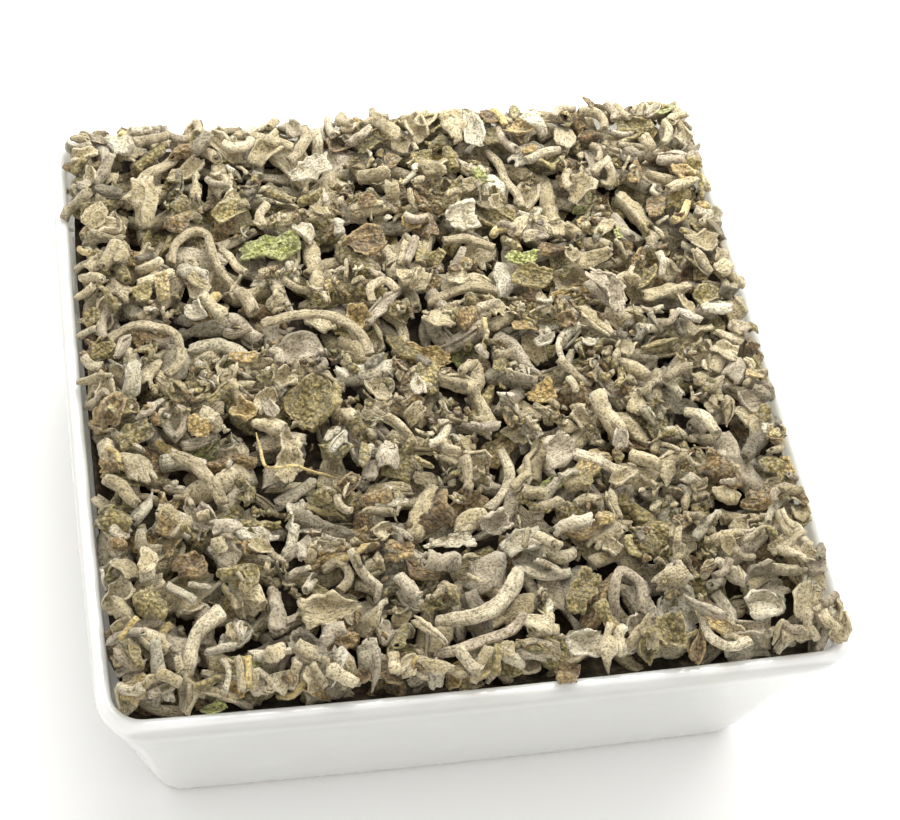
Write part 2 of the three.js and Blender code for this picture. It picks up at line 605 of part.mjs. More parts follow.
let bed = makePackedMass();
for (const piece of loosePieces) {
  bed = bed.add(looseSolid(piece));
}
const column = loft(
  [squareRing(PILE_HALF, PILE_CORNER, FLOOR + GAP), squareRing(PILE_HALF, PILE_CORNER, 2 * HEIGHT)],
  [0, 0, FLOOR + GAP],
  [0, 0, 2 * HEIGHT],
);
bed = bed.intersect(column);
const named = [...deepPieces, ...topPieces];
for (const piece of named) {
  bed = bed.subtract(namedSolid(piece, GAP));
}

const sageDish = new THREE.Group();
sageDish.name = 'sage_dish';
sageDish.add(meshOf('dish', makeDish(), 'glaze'));
sageDish.add(meshOf('sage_bed', largest(bed), 'felt'));
for (const piece of named) {
  sageDish.add(meshOf(piece.name, namedSolid(piece, 0), piece.finish));
}

export default sageDish;
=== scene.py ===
"""Dresses the square dish of dried cut sage: glaze, herb pieces, crumbs, table, light and camera.

Pieces are modelled in millimetres and become metres when their mesh is made, so every length is in
millimetres unless its name or comment says otherwise. A bit of herb is modelled one width across.
"""

from __future__ import annotations

import logging
import math
from collections.abc import Iterator, Sequence
from contextlib import contextmanager
from dataclasses import dataclass, field, replace
from enum import Enum, IntEnum

import bpy
import numpy as np
from mathutils import Matrix, Vector


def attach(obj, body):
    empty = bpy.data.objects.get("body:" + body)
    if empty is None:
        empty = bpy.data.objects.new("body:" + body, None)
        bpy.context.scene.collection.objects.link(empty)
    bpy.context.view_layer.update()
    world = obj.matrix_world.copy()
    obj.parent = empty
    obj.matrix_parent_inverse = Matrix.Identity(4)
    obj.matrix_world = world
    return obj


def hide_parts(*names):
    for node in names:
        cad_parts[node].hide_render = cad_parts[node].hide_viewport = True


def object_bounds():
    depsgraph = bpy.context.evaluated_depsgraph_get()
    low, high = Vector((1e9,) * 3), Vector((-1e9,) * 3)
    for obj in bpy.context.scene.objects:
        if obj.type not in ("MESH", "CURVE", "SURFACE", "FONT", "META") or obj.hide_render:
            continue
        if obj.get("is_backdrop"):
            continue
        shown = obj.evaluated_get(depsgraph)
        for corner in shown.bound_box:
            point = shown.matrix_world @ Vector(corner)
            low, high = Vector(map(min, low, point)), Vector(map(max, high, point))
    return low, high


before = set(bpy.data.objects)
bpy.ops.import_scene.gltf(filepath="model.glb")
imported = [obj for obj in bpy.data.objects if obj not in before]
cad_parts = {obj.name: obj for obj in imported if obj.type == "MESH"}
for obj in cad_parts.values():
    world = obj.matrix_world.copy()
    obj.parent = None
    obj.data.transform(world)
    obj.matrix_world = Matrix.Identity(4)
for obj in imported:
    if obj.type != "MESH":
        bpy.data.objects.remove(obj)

LOG = logging.getLogger("sage_dish")
MM = 0.001
BODY = "root"

Point = tuple[float, float, float]
Line = list[Point]
Plan = list[tuple[float, float]]
Colour = tuple[float, float, float]
Span = tuple[float, float]
Stops = Sequence[tuple[float, Colour]]
Socket = bpy.types.NodeSocket


class Kind(Enum):
    """The forms that a bit of cut sage takes."""

    ROLL = "roll"
    STALK = "stalk"
    CURL = "curl"
    FLAKE = "flake"
    NUB = "nub"


ROLL, STALK, CURL, FLAKE, NUB = Kind


class Skin(Enum):
    """How the surface of a herb piece is built up."""

    FELTED = "felted"
    NETTED = "netted"
    FIBROUS = "fibrous"


class Seed(IntEnum):
    """Where each sequence of draws starts."""

    LOOSE = 20231
    LOOKS = 4711
    UNDER = 613
    EXTRAS = 8081
    MEDIUM = 977
    EDGE = 2203
    ROW = 3109
    SMALL = 479
    CRUMBS = 1297
    CRUMB_SHAPES = 1291
    CORE = 53
    COARSE_BITS = 619
    MIDDLING_BITS = 733
    FINE_BITS = 311


class Draws:
    """Repeatable draws from 0 to 1."""

    MULTIPLIER = 48271
    MODULUS = 2147483647

    def __init__(self, seed: int) -> None:
        """Starts the sequence.

        Args:
            seed: any whole number from 1 up.
        """
        self.state = seed

    def __call__(self) -> float:
        """The next draw."""
        self.state = (self.state * self.MULTIPLIER) % self.MODULUS
        return self.state / self.MODULUS

    def between(self, low: float, high: float) -> float:
        """A draw from low to high."""
        return low + (high - low) * self()

    def pick(self, options: Sequence) -> object:
        """One of several options."""
        return options[min(len(options) - 1, int(self() * len(options)))]

    def offset(self) -> np.ndarray:
        """Three draws from -0.5 to 0.5."""
        return np.array([self() - 0.5 for _ in range(3)])


# ------------------------------------------------------------------------------------- mesh helpers
def deselect() -> None:
    """Leaves object mode with nothing selected."""
    if bpy.context.object and bpy.context.object.mode != "OBJECT":
        bpy.ops.object.mode_set(mode="OBJECT")
    bpy.ops.object.select_all(action="DESELECT")


@contextmanager
def editing() -> Iterator[None]:
    """Edit mode for the lines inside, and object mode after them."""
    bpy.ops.object.mode_set(mode="EDIT")
    yield
    bpy.ops.object.mode_set(mode="OBJECT")


def new_object(name: str, data: bpy.types.ID) -> bpy.types.Object:
    """Makes an object of a mesh, a light or a camera, and puts it in the scene.

    Args:
        name: its name.
        data: what it shows.

    Returns:
        The object.
    """
    obj = bpy.data.objects.new(name, data)
    bpy.context.scene.collection.objects.link(obj)
    return obj


def points_of(obj: bpy.types.Object) -> np.ndarray:
    """The vertices of a mesh object, one row each.

    Args:
        obj: the object.

    Returns:
        Their places.
    """
    points = np.empty(len(obj.data.vertices) * 3)
    obj.data.vertices.foreach_get("co", points)
    return points.reshape(-1, 3)


def set_points(obj: bpy.types.Object, points: np.ndarray) -> None:
    """Moves the vertices of a mesh object."""
    obj.data.vertices.foreach_set("co", np.ascontiguousarray(points, dtype=np.float32).ravel())
    obj.data.update()


def apply_modifiers(obj: bpy.types.Object) -> None:
    """Applies every modifier of an object, in order.

    Args:
        obj: the object.
    """
    bpy.context.view_layer.objects.active = obj
    for name in [modifier.name for modifier in obj.modifiers]:
        bpy.ops.object.modifier_apply(modifier=name)


def face_outwards(obj: bpy.types.Object) -> None:
    """Turns all faces of a closed mesh outwards.

    Args:
        obj: the object.
    """
    bpy.context.view_layer.objects.active = obj
    with editing():
        bpy.ops.mesh.select_all(action="SELECT")
        bpy.ops.mesh.normals_make_consistent(inside=False)


def select_parts(obj: bpy.types.Object, domain: str, flags: list[bool]) -> None:
    """Selects some edges or faces.

    Args:
        obj: the object, active and in object mode.
        domain: EDGE or FACE.
        flags: one for each edge or face.
    """
    with editing():
        bpy.ops.mesh.select_mode(type=domain)
        bpy.ops.mesh.select_all(action="DESELECT")
    items = obj.data.edges if domain == "EDGE" else obj.data.polygons
    items.foreach_set("select", flags)


def add_sheet(
    across: int, along: int, size: float = 1
) -> tuple[bpy.types.Object, np.ndarray, np.ndarray]:
    """Adds a flat square sheet.

    Args:
        across: how many faces it has along X.
        along: how many it has along Y.
        size: how wide it is.

    Returns:
        The object, and the X and Y of its vertices.
    """
    deselect()
    bpy.ops.mesh.primitive_grid_add(x_subdivisions=across, y_subdivisions=along, size=size)
    obj = bpy.context.object
    x, y = points_of(obj)[:, :2].T
    return obj, x, y


def add_rod(sides: int, length: float, cuts: int) -> bpy.types.Object:
    """Adds an upright rod one unit across, with its sides cut across.

    Args:
        sides: how many sides it has.
        length: how long it is.
        cuts: how many times its sides are cut.

    Returns:
        The object, in object mode.
    """
    deselect()
    bpy.ops.mesh.primitive_cylinder_add(vertices=sides, radius=0.5, depth=length)
    obj = bpy.context.object
    places = obj.data.vertices
    rises = [places[e.vertices[0]].co.z - places[e.vertices[1]].co.z for e in obj.data.edges]
    select_parts(obj, "EDGE", [abs(rise) > 0.5 * length for rise in rises])
    with editing():
        bpy.ops.mesh.subdivide(number_cuts=cuts)
    return obj


def bend_sheet(obj: bpy.types.Object, angle: float, thick: float) -> np.ndarray:
    """Bends an upright sheet about Z and gives it a thickness.

    Args:
        obj: the sheet, with its width along X and its length along Z.
        angle: how far it goes round, in radians.
        thick: its thickness.

    Returns:
        Its new vertices.
    """
    bend = obj.modifiers.new("Bend", "SIMPLE_DEFORM")
    bend.deform_method = "BEND"
    bend.deform_axis = "Z"
    bend.angle = angle
    wall = obj.modifiers.new("Wall", "SOLIDIFY")
    wall.thickness = thick
    wall.offset = 0
    apply_modifiers(obj)
    return points_of(obj)


def roughen(obj: bpy.types.Object, size: float, depth: float, draws: Draws) -> None:
    """Gives a mesh lumps.

    Args:
        obj: the object.
        size: how big the lumps are, in its own units.
        depth: how deep they are.
        draws: what makes them differ from those of the next object.
    """
    name = f"lumps_{size:g}"
    if name not in bpy.data.textures:
        bpy.data.textures.new(name, "CLOUDS").noise_scale = size
    farthest = 20
    shift = farthest * np.array([draws() for _ in range(3)])
    set_points(obj, points_of(obj) + shift)
    lumps = obj.modifiers.new("Lumps", "DISPLACE")
    lumps.texture = bpy.data.textures[name]
    lumps.strength = depth
    apply_modifiers(obj)
    set_points(obj, points_of(obj) - shift)


def wobble(points: np.ndarray, length: float, draws: Draws, waves: int = 5) -> np.ndarray:
    """Smooth random values over space, mostly from -1 to 1.

    Args:
        points: places, one row each.
        length: typical distance from one high to the next.
        draws: where the random values come from.
        waves: how many waves are added.

    Returns:
        One value for each place.
    """
    spread = (0.7, 1.5)  # of the waves' lengths
    total = np.zeros(len(points))
    for _ in range(waves):
        way = draws.offset()
        way /= np.linalg.norm(way) + 1e-9
        pitch = length * draws.between(*spread)
        total += np.sin(points @ way * (2 * math.pi / pitch) + 2 * math.pi * draws())
    return total * (1.6 / waves)


def warp(points: np.ndarray, length: float, depth: float, draws: Draws) -> np.ndarray:
    """Moves points about smoothly.

    Args:
        points: places, one row each.
        length: typical distance from one high to the next.
        depth: how far they move.
        draws: where the random values come from.

    Returns:
        The moved places.
    """
    moves = np.stack([wobble(points, length, draws) for _ in range(3)], axis=1)
    return points + depth * moves


def creases(points: np.ndarray, length: float, draws: Draws) -> np.ndarray:
    """Random values over space, mostly from -1 to 1, with sharp valleys between rounded crests.

    Args:
        points: places, one row each.
        length: typical distance from one valley to the next.
        draws: where the random values come from.

    Returns:
        One value for each place.
    """
    return 2.2 * np.abs(wobble(points, 2 * length, draws)) - 0.9


def tears(points: np.ndarray, length: float, draws: Draws) -> np.ndarray:
    """How far a torn edge strays, mostly from -1.6 to 1.6: long tears with short ones on them."""
    short, share = 0.35, 0.6
    return wobble(points, length, draws) + share * wobble(points, short, draws)


def edge_of(u: np.ndarray, v: np.ndarray) -> np.ndarray:
    """How near places of a sheet one unit wide are to its edge, for both of its sides.

    Args:
        u: places across the sheet, from -0.5 to 0.5.
        v: places along it, the same.

    Returns:
        One value for each place, first of one side and then of the other: 0 well
        inside and 1 on the edge.
    """
    start = 0.8  # of the way from the middle to the edge
    near = np.clip((2 * np.maximum(np.abs(u), np.abs(v)) - start) / (1 - start), 0, 1)
    return np.tile(near, 2)


def turned(u: np.ndarray, v: np.ndarray, angle: float) -> tuple[np.ndarray, np.ndarray]:
    """Turns points or one point of a plane about its middle, by an angle in radians."""
    return u * math.cos(angle) - v * math.sin(angle), u * math.sin(angle) + v * math.cos(angle)


# ------------------------------------------------------------------------------- shapes and batches
@dataclass
class Shape:
    """A modelled piece as plain arrays, ready to be copied.

    x runs along the piece from -0.5 to 0.5. y and z are across it and up, in widths.
    """

    points: np.ndarray
    corners: np.ndarray
    sizes: np.ndarray
    uv: np.ndarray
    edge: np.ndarray | float = 0.0  # how near each point is to a torn edge

    @classmethod
    def taken_from(
        cls, obj: bpy.types.Object, length: float, edge: np.ndarray | float = 0.0
    ) -> "Shape":
        """Reads a finished object, and removes it.

        Args:
            obj: the object, with its length along x.
            length: its nominal length, in widths.
            edge: how near each of its points is to a torn edge.

        Returns:
            The shape.
        """
        mesh = obj.data
        points = points_of(obj)
        points[:, 0] /= length
        corners = np.empty(len(mesh.loops), dtype=np.int32)
        mesh.loops.foreach_get("vertex_index", corners)
        sizes = np.empty(len(mesh.polygons), dtype=np.int32)
        mesh.polygons.foreach_get("loop_total", sizes)
        uv = np.zeros(len(mesh.loops) * 2, dtype=np.float32)
        if mesh.uv_layers:
            mesh.uv_layers[0].data.foreach_get("uv", uv)
        bpy.data.objects.remove(obj)
        bpy.data.meshes.remove(mesh)
        return cls(points, corners, sizes, uv.reshape(-1, 2), edge)

    def wrap_uv(self) -> None:
        """Gives a rod a map that runs round it, with its seam underneath, and along it."""
        own = self.points[self.corners]
        turn = (np.arctan2(own[:, 2], own[:, 1]) / (2 * math.pi) + 0.25) % 1.0
        face = np.repeat(np.arange(len(self.sizes)), self.sizes)
        starts = np.concatenate([[0], np.cumsum(self.sizes)[:-1]])
        high = np.maximum.reduceat(turn, starts)[face]
        turn = np.where((high > 0.75) & (turn < 0.25), turn + 1, turn)
        self.uv = np.stack([turn, own[:, 0] + 0.5], axis=1)


class Spine:
    """A smooth middle line through a piece's points, with its side and up directions."""

    SAMPLES = 8

    def __init__(self, line: Line) -> None:
        """Smooths the line.

        Args:
            line: at least two points, from one end of the piece to the other.
        """
        raw = np.array(line, dtype=float)
        ends = np.vstack([2 * raw[0] - raw[1], raw, 2 * raw[-1] - raw[-2]])
        rows = []
        for before, start, stop, after in zip(ends, ends[1:], ends[2:], ends[3:]):
            for k in range(self.SAMPLES):
                t = k / self.SAMPLES
                bend = before - 2.5 * start + 2 * stop - 0.5 * after
                twist = 1.5 * (start - stop) + 0.5 * (after - before)
                rows.append(start + 0.5 * t * (stop - before) + t * t * bend + t * t * t * twist)
        rows.append(raw[-1])
        self.rows = np.array(rows)
        steps = np.linalg.norm(np.diff(self.rows, axis=0), axis=1)
        self.length = float(steps.sum())
        self.share = np.concatenate([[0], np.cumsum(steps)]) / self.length
        ahead = np.gradient(self.rows, self.share, axis=0)
        self.ahead = ahead / np.linalg.norm(ahead, axis=1)[:, None]

    def at(self, share: np.ndarray) -> tuple[np.ndarray, np.ndarray, np.ndarray]:
        """Places and directions along the line.

        Args:
            share: 0 at the first end and 1 at the last. Values outside run straight on.

        Returns:
            Places, and the directions to the side and up.
        """
        held = np.clip(share, 0, 1)
        place = np.stack([np.interp(held, self.share, self.rows[:, k]) for k in range(3)], axis=1)
        ahead = np.stack([np.interp(held, self.share, self.ahead[:, k]) for k in range(3)], axis=1)
        ahead /= np.linalg.norm(ahead, axis=1)[:, None]
        place += ahead * ((share - held) * self.length)[:, None]
        side = np.cross(np.array([0.0, 0.0, 1.0]), ahead)
        side /= np.linalg.norm(side, axis=1)[:, None] + 1e-12
        return place, side, np.cross(ahead, side)


@dataclass
class Look:
    """What sets one piece's colour apart from the next. Each value runs from 0 to 1."""

    shade: float
    light: float
    dust: float

    @classmethod
    def drawn(cls, draws: Draws) -> "Look":
        """A random look, mostly in the middle."""
        return cls(draws(), 0.5 * (draws() + draws()), draws())


@dataclass
class Batch:
    """Copies of shapes that make up one object."""

    name: str
    points: list[np.ndarray] = field(default_factory=list)
    corners: list[np.ndarray] = field(default_factory=list)
    sizes: list[np.ndarray] = field(default_factory=list)
    uv: list[np.ndarray] = field(default_factory=list)
    tints: list[np.ndarray] = field(default_factory=list)
    count: int = 0

    LID = 39.7  # what stands higher is pressed down to less than one millimetre above this

    def add(self, shape: Shape, line: Line, width: float, roll: float, look: Look) -> None:
        """Lays a copy of a shape along a line.

        Args:
            shape: what to copy.
            line: its middle line.
            width: its width.
            roll: how far it is turned about its line, in radians.
            look: its colour.
        """
        spine = Spine(line)
        place, side, up = spine.at(shape.points[:, 0] + 0.5)
        across, height = turned(shape.points[:, 1], shape.points[:, 2], roll)
        points = place + side * (across * width)[:, None] + up * (height * width)[:, None]
        self.corners.append(shape.corners + self.count)
        self.sizes.append(shape.sizes)
        self.points.append(points)
        self.uv.append(shape.uv * np.array([math.pi * width, spine.length]) * MM)
        tints = np.tile(np.array([look.shade, look.light, look.dust, 0.0]), (len(points), 1))
        tints[:, 3] = shape.edge
        self.tints.append(tints.astype(np.float32))
        self.count += len(points)

    def build(self) -> bpy.types.Object:
        """Makes the mesh object, in metres and smooth shaded.

        Returns:
            The object.
        """
        mesh = bpy.data.meshes.new(self.name)
        points = np.concatenate(self.points)
        over = np.clip(points[:, 2] - self.LID, 0, None)
        points[:, 2] += 1 - np.exp(-over) - over
        points = (points * MM).astype(np.float32)
        corners = np.concatenate(self.corners).astype(np.int32)
        sizes = np.concatenate(self.sizes).astype(np.int32)
        starts = np.concatenate([[0], np.cumsum(sizes)[:-1]]).astype(np.int32)
        mesh.vertices.add(len(points))
        mesh.vertices.foreach_set("co", points.ravel())
        mesh.loops.add(len(corners))
        mesh.loops.foreach_set("vertex_index", corners)
        mesh.polygons.add(len(sizes))
        mesh.polygons.foreach_set("loop_start", starts)
        mesh.update(calc_edges=True)
        mesh.shade_smooth()
        grain = mesh.uv_layers.new(name="grain")
        grain.data.foreach_set("uv", np.concatenate(self.uv).astype(np.float32).ravel())
        tint = mesh.attributes.new("tint", "FLOAT_COLOR", "POINT")
        tint.data.foreach_set("color", np.concatenate(self.tints).ravel())
        return new_object(self.name, mesh)


# -------------------------------------------------------------------------------------- herb shapes
@dataclass
class RolledBit:
    """A bit of leaf rolled up across its length: a thin ragged sheet with a seam and open ends."""

    turns: float = 1.5
    outer: float = 0.46  # in widths, as the rest
    inner: float = 0.16
    waist: float = 0.25  # how much narrower its ends are
    ragged: float = 0.08
    flat: float = 0.85  # its height over its width
    pleats: float = 0.24  # how deep the folds along it are
    crumple: float = 0.12
    lumps: float = 0.2
    thickest: float = 0.16
    lean: Span = (-0.35, 0.35)  # how uneven its two ends are
    across: int = 20
    along: int = 12

    ONE_FOLD = 0.4  # how many of them are pinched in one place, and not in two

    def model(self, ratio: float, draws: Draws) -> Shape:
        """Models the bit.

        Args:
            ratio: length over width.
            draws: what makes this one differ from the next.

        Returns:
            The shape, one width across.
        """
        obj, u, v = add_sheet(self.across, self.along)
        angle = 2 * math.pi * self.turns
        middle = (self.outer + self.inner) / 2
        flat = np.stack([u * middle * angle, v * ratio, 0 * u], axis=1)
        end = 1 + self.ragged * tears(flat, 0.8, draws)
        depth = u * (self.outer - self.inner) + 0.04 * wobble(flat, 0.9, draws)
        set_points(obj, np.stack([flat[:, 0], depth, v * ratio * end], axis=1))
        thick = min(self.thickest, 0.8 * (self.outer - self.inner) / self.turns)
        points = bend_sheet(obj, angle, thick)
        points[:, 1] -= middle
        self.lay(obj, points, ratio, draws)
        face_outwards(obj)
        roughen(obj, 0.3, self.lumps, draws)
        return Shape.taken_from(obj, ratio, edge_of(u, v))

    def lay(self, obj: bpy.types.Object, points: np.ndarray, ratio: float, draws: Draws) -> None:
        """Lays the rolled sheet along x, with a random seam, narrower ends and some crumpling.

        Args:
            obj: the object.
            points: its vertices, rolled about Z.
            ratio: length over width.
            draws: what makes this one differ from the next.
        """
        spin = draws.between(0, 2 * math.pi)
        t = 2 * points[:, 2] / ratio
        lean = draws.between(*self.lean)
        middle = points * np.array([0.0, 0.0, 1.0])
        girth = 1 - self.waist * np.clip((t + lean) ** 2, 0, 1.5)
        girth = girth + 0.08 * wobble(middle, 1.2, draws)
        turn = np.arctan2(points[:, 1], points[:, 0]) + 0.5 * wobble(middle, 2.0, draws)
        folds = 1 if draws() < self.ONE_FOLD else 2
        pleat = np.abs(np.sin(folds * turn + draws.between(0, math.pi)))
        girth *= 1 - self.pleats * (1 - pleat) * draws.between(0.4, 1.0)
        y, z = turned(points[:, 0], points[:, 1], spin)
        laid = np.stack([points[:, 2], y * girth, z * girth * self.flat], axis=1)
        laid = warp(laid, 1.8, self.crumple, draws)
        set_points(obj, warp(laid, 0.7, 0.25 * self.crumple, draws))


@dataclass
class CurledBit:
    """A bit of leaf bent into a gutter or cup, or nearly flat: a thin sheet with a torn outline."""

    turns: float = 0.45
    thick: float = 0.14
    taper: float = 0.4  # how much narrower its ends are
    ragged: float = 0.12
    cupped: float = 0.2  # how far its ends curl in
    folded: float = 0.13  # how deep its creases are
    crumple: float = 0.14
    lumps: float = 0.18
    lean: Span = (-0.4, 0.4)  # how uneven its two ends are
    across: int = 20
    along: int = 14

    def model(self, ratio: float, draws: Draws) -> Shape:
        """Models the bit.

        Args:
            ratio: length over width.
            draws: what makes this one differ from the next.

        Returns:
            The shape, one width across.
        """
        obj, u, v = add_sheet(self.across, self.along)
        angle = 2 * math.pi * self.turns
        spread = 0.5 * angle / math.sin(min(angle, math.pi) / 2)
        flat = np.stack([u * spread, v * ratio, 0 * u], axis=1)
        lean = draws.between(*self.lean)
        side = 1 - self.taper * np.clip(2 * v + lean * np.abs(2 * v), -1.3, 1.3) ** 2
        side += self.ragged * tears(flat, 0.8, draws)
        end = 1 - 0.3 * self.taper * (2 * u) ** 2
        end += self.ragged * tears(flat, 0.7, draws)
        fold = 0.06 * wobble(flat, 1.0, draws)
        set_points(obj, np.stack([flat[:, 0] * side, fold, v * ratio * end], axis=1))
        points = bend_sheet(obj, angle, self.thick)
        height = points[:, 1] - 0.5 * (points[:, 1].max() + points[:, 1].min())
        t = 2 * points[:, 2] / ratio
        height += self.cupped * (t * t - 0.3)
        laid = np.stack([points[:, 2], points[:, 0], height], axis=1)
        laid[:, 2] += self.folded * creases(laid, 0.7, draws)
        laid[:, 1] += 0.5 * self.folded * creases(laid, 0.9, draws)
        laid = warp(laid, 1.5, self.crumple, draws)
        set_points(obj, warp(laid, 0.6, 0.3 * self.crumple, draws))
        face_outwards(obj)
        roughen(obj, 0.25, self.lumps, draws)
        return Shape.taken_from(obj, ratio, edge_of(u, v))


@dataclass
class StalkBit:
    """A leaf stalk: a slim rod with a channel along its top and cut, slightly hollow ends."""

    sides: int = 8
    cuts: int = 8
    channel: float = 0.26  # how deep it is
    channel_width: float = 0.5  # in radians
    ribs: float = 0.05  # how far its three ribs stand out
    flare: float = 0.0  # how much wider one end is
    taper: float = 0.12  # how much narrower its ends are
    sway: float = 0.14  # how far it strays from its line
    lumps: float = 0.14

    ENDS = ((0.14, 0), (0.1, -0.15))  # how wide and how high each step inwards on a cut end is

    def model(self, ratio: float, draws: Draws) -> Shape:
        """Models the stalk.

        Args:
            ratio: length over width.
            draws: what makes this one differ from the next.

        Returns:
            The shape, one width across.
        """
        obj = add_rod(self.sides, ratio, self.cuts)
        select_parts(obj, "FACE", [abs(face.normal.z) > 0.9 for face in obj.data.polygons])
        with editing():
            for thickness, depth in self.ENDS:
                bpy.ops.mesh.inset(thickness=thickness, depth=depth)
        laid = points_of(obj)[:, [2, 0, 1]]
        t = 2 * laid[:, 0] / ratio
        middle = laid * np.array([1.0, 0.0, 0.0])
        girth = 0.96 + 0.1 * wobble(middle, 2.2, draws) + self.flare * np.clip(t, 0, 1) ** 3
        girth *= 1 - self.taper * t**4
        angle = np.arctan2(laid[:, 2], laid[:, 1])
        girth += self.ribs * np.cos(3 * angle + draws.between(0, 6))
        groove = self.channel * np.exp(-(((angle - math.pi / 2) / self.channel_width) ** 2))
        laid[:, 1] *= girth * (1 - 0.3 * groove)
        laid[:, 2] *= girth * (0.92 - groove)
        laid[:, 0] += 0.5 * laid[:, 1] * t * np.abs(t) * draws.between(-1, 1)
        laid[:, 1] += self.sway * wobble(middle, 3.0, draws)
        laid[:, 2] += self.sway * wobble(middle, 3.0, draws)
        set_points(obj, laid)
        face_outwards(obj)
        roughen(obj, 0.35, self.lumps, draws)
        shape = Shape.taken_from(obj, ratio)
        shape.wrap_uv()
        return shape


@dataclass
class NubBit:
    """A solid broken bit: a lump with a few flattish faces."""

    facets: int = 5
    facet_reach: Span = (0.22, 0.4)  # how far from the middle they start
    pressed: float = 0.85  # how flat they are
    swell: float = 1.15  # makes up for what they take away
    flat: Span = (0.6, 0.95)  # its height over its width
    creased: float = 0.14
    fineness: int = 3
    lumps: float = 0.1

    def model(self, ratio: float, draws: Draws) -> Shape:
        """Models the bit.

        Args:
            ratio: length over width.
            draws: what makes this one differ from the next.

        Returns:
            The shape, one width across.
        """
        deselect()
        bpy.ops.mesh.primitive_ico_sphere_add(subdivisions=self.fineness, radius=0.5)
        obj = bpy.context.object
        points = points_of(obj)
        for _ in range(self.facets):
            way = draws.offset()
            way /= np.linalg.norm(way)
            over = np.clip(points @ way - draws.between(*self.facet_reach), 0, None)
            points = points - self.pressed * over[:, None] * way
        points = points * np.array([self.swell * ratio, self.swell, draws.between(*self.flat)])
        points *= (1 + self.creased * creases(points, 0.6, draws))[:, None]
        set_points(obj, warp(points, 1.3, 0.12, draws))
        roughen(obj, 0.3, self.lumps, draws)
        return Shape.taken_from(obj, ratio)


@dataclass
class CrumbBit:
    """A crumb: a small chip with few faces."""

    sides: int = 4
    cuts: int = 3
    taper: Span = (0.1, 0.6)  # how much narrower its ends are
    flat: Span = (0.25, 0.6)  # its height over its width
    bow: Span = (-0.5, 0.5)  # how far its ends bend up

    def model(self, ratio: float, draws: Draws) -> Shape:
        """Models the crumb.

        Args:
            ratio: length over width.
            draws: what makes this one differ from the next.

        Returns:
            The shape, one width across.
        """
        obj = add_rod(self.sides, ratio, self.cuts)
        laid = points_of(obj)[:, [2, 0, 1]]
        t = 2 * laid[:, 0] / ratio
        laid[:, 1:] *= (1 - draws.between(*self.taper) * t * t)[:, None]
        laid[:, 2] *= draws.between(*self.flat)
        laid[:, 2] += draws.between(*self.bow) * t * t
        set_points(obj, warp(laid, 1.1, 0.2, draws))
        face_outwards(obj)
        return Shape.taken_from(obj, ratio)


# ----------------------------------------------------------------------------------------- the heap
@dataclass
class Fill:
    """How the herb lies in the dish."""

    at_wall: float = 34.9  # height of the levelled herb at the walls
    crown: float = 1.9  # how much higher it is in the middle
    depth: float = 2.8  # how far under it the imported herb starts
    half: float = 46.9  # half the width over which loose pieces lie
    rim_inside: float = 47.9  # half the width between the rim's inner edges
    rim_height: float = 35.0

    def top(self, x: float, y: float) -> float:
        """Height of the levelled, slightly heaped herb at a place.

        Args:
            x: the place.
            y: the same.

        Returns:
            The height above the dish's foot.
        """
        across = 1 - (x / self.rim_inside) ** 4
        along = 1 - (y / self.rim_inside) ** 4
        return self.at_wall + self.crown * max(0.0, across) * max(0.0, along)


class SmoothPath:
    """A smooth line in plan through given points, by the centripetal rule."""

    DIVISIONS = 200

    def __init__(self, path: Plan) -> None:
        """Extends the path by a point at each end.

        Args:
            path: the points.
        """
        raw = np.array(path, dtype=float)
        self.rows = np.vstack([2 * raw[0] - raw[1], raw, 2 * raw[-1] - raw[-2]])
        self.last = len(raw) - 1

    def at(self, t: float) -> np.ndarray:
        """The point at a share of the way, counted in points and not in length.

        Args:
            t: the share, from 0 to 1.

        Returns:
            Its x and y.
        """
        place = min(int(t * self.last), self.last - 1)
        w = t * self.last - place
        p0, p1, p2, p3 = self.rows[place:place + 4]
        pairs = ((p0, p1), (p1, p2), (p2, p3))
        d0, d1, d2 = (float(np.sum((b - a) ** 2)) ** 0.25 for a, b in pairs)
        t1 = ((p1 - p0) / d0 - (p2 - p0) / (d0 + d1) + (p2 - p1) / d1) * d1
        t2 = ((p2 - p1) / d1 - (p3 - p1) / (d1 + d2) + (p3 - p2) / d2) * d1
        bend = -3 * p1 + 3 * p2 - 2 * t1 - t2
        twist = 2 * p1 - 2 * p2 + t1 + t2
        return p1 + t1 * w + bend * w * w + twist * w * w * w

    def spaced(self, steps: int) -> Plan:
        """The line cut into equal steps.

        Args:
            steps: how many.

        Returns:
            The points between the steps, and those at the ends.
        """
        shares = np.linspace(0, 1, self.DIVISIONS + 1)
        rows = np.array([self.at(t) for t in shares])
        length = np.concatenate([[0], np.cumsum(np.linalg.norm(np.diff(rows, axis=0), axis=1))])
        wanted = np.interp(np.linspace(0, length[-1], steps + 1), length, shares)
        return [tuple(float(c) for c in self.at(t)) for t in wanted]


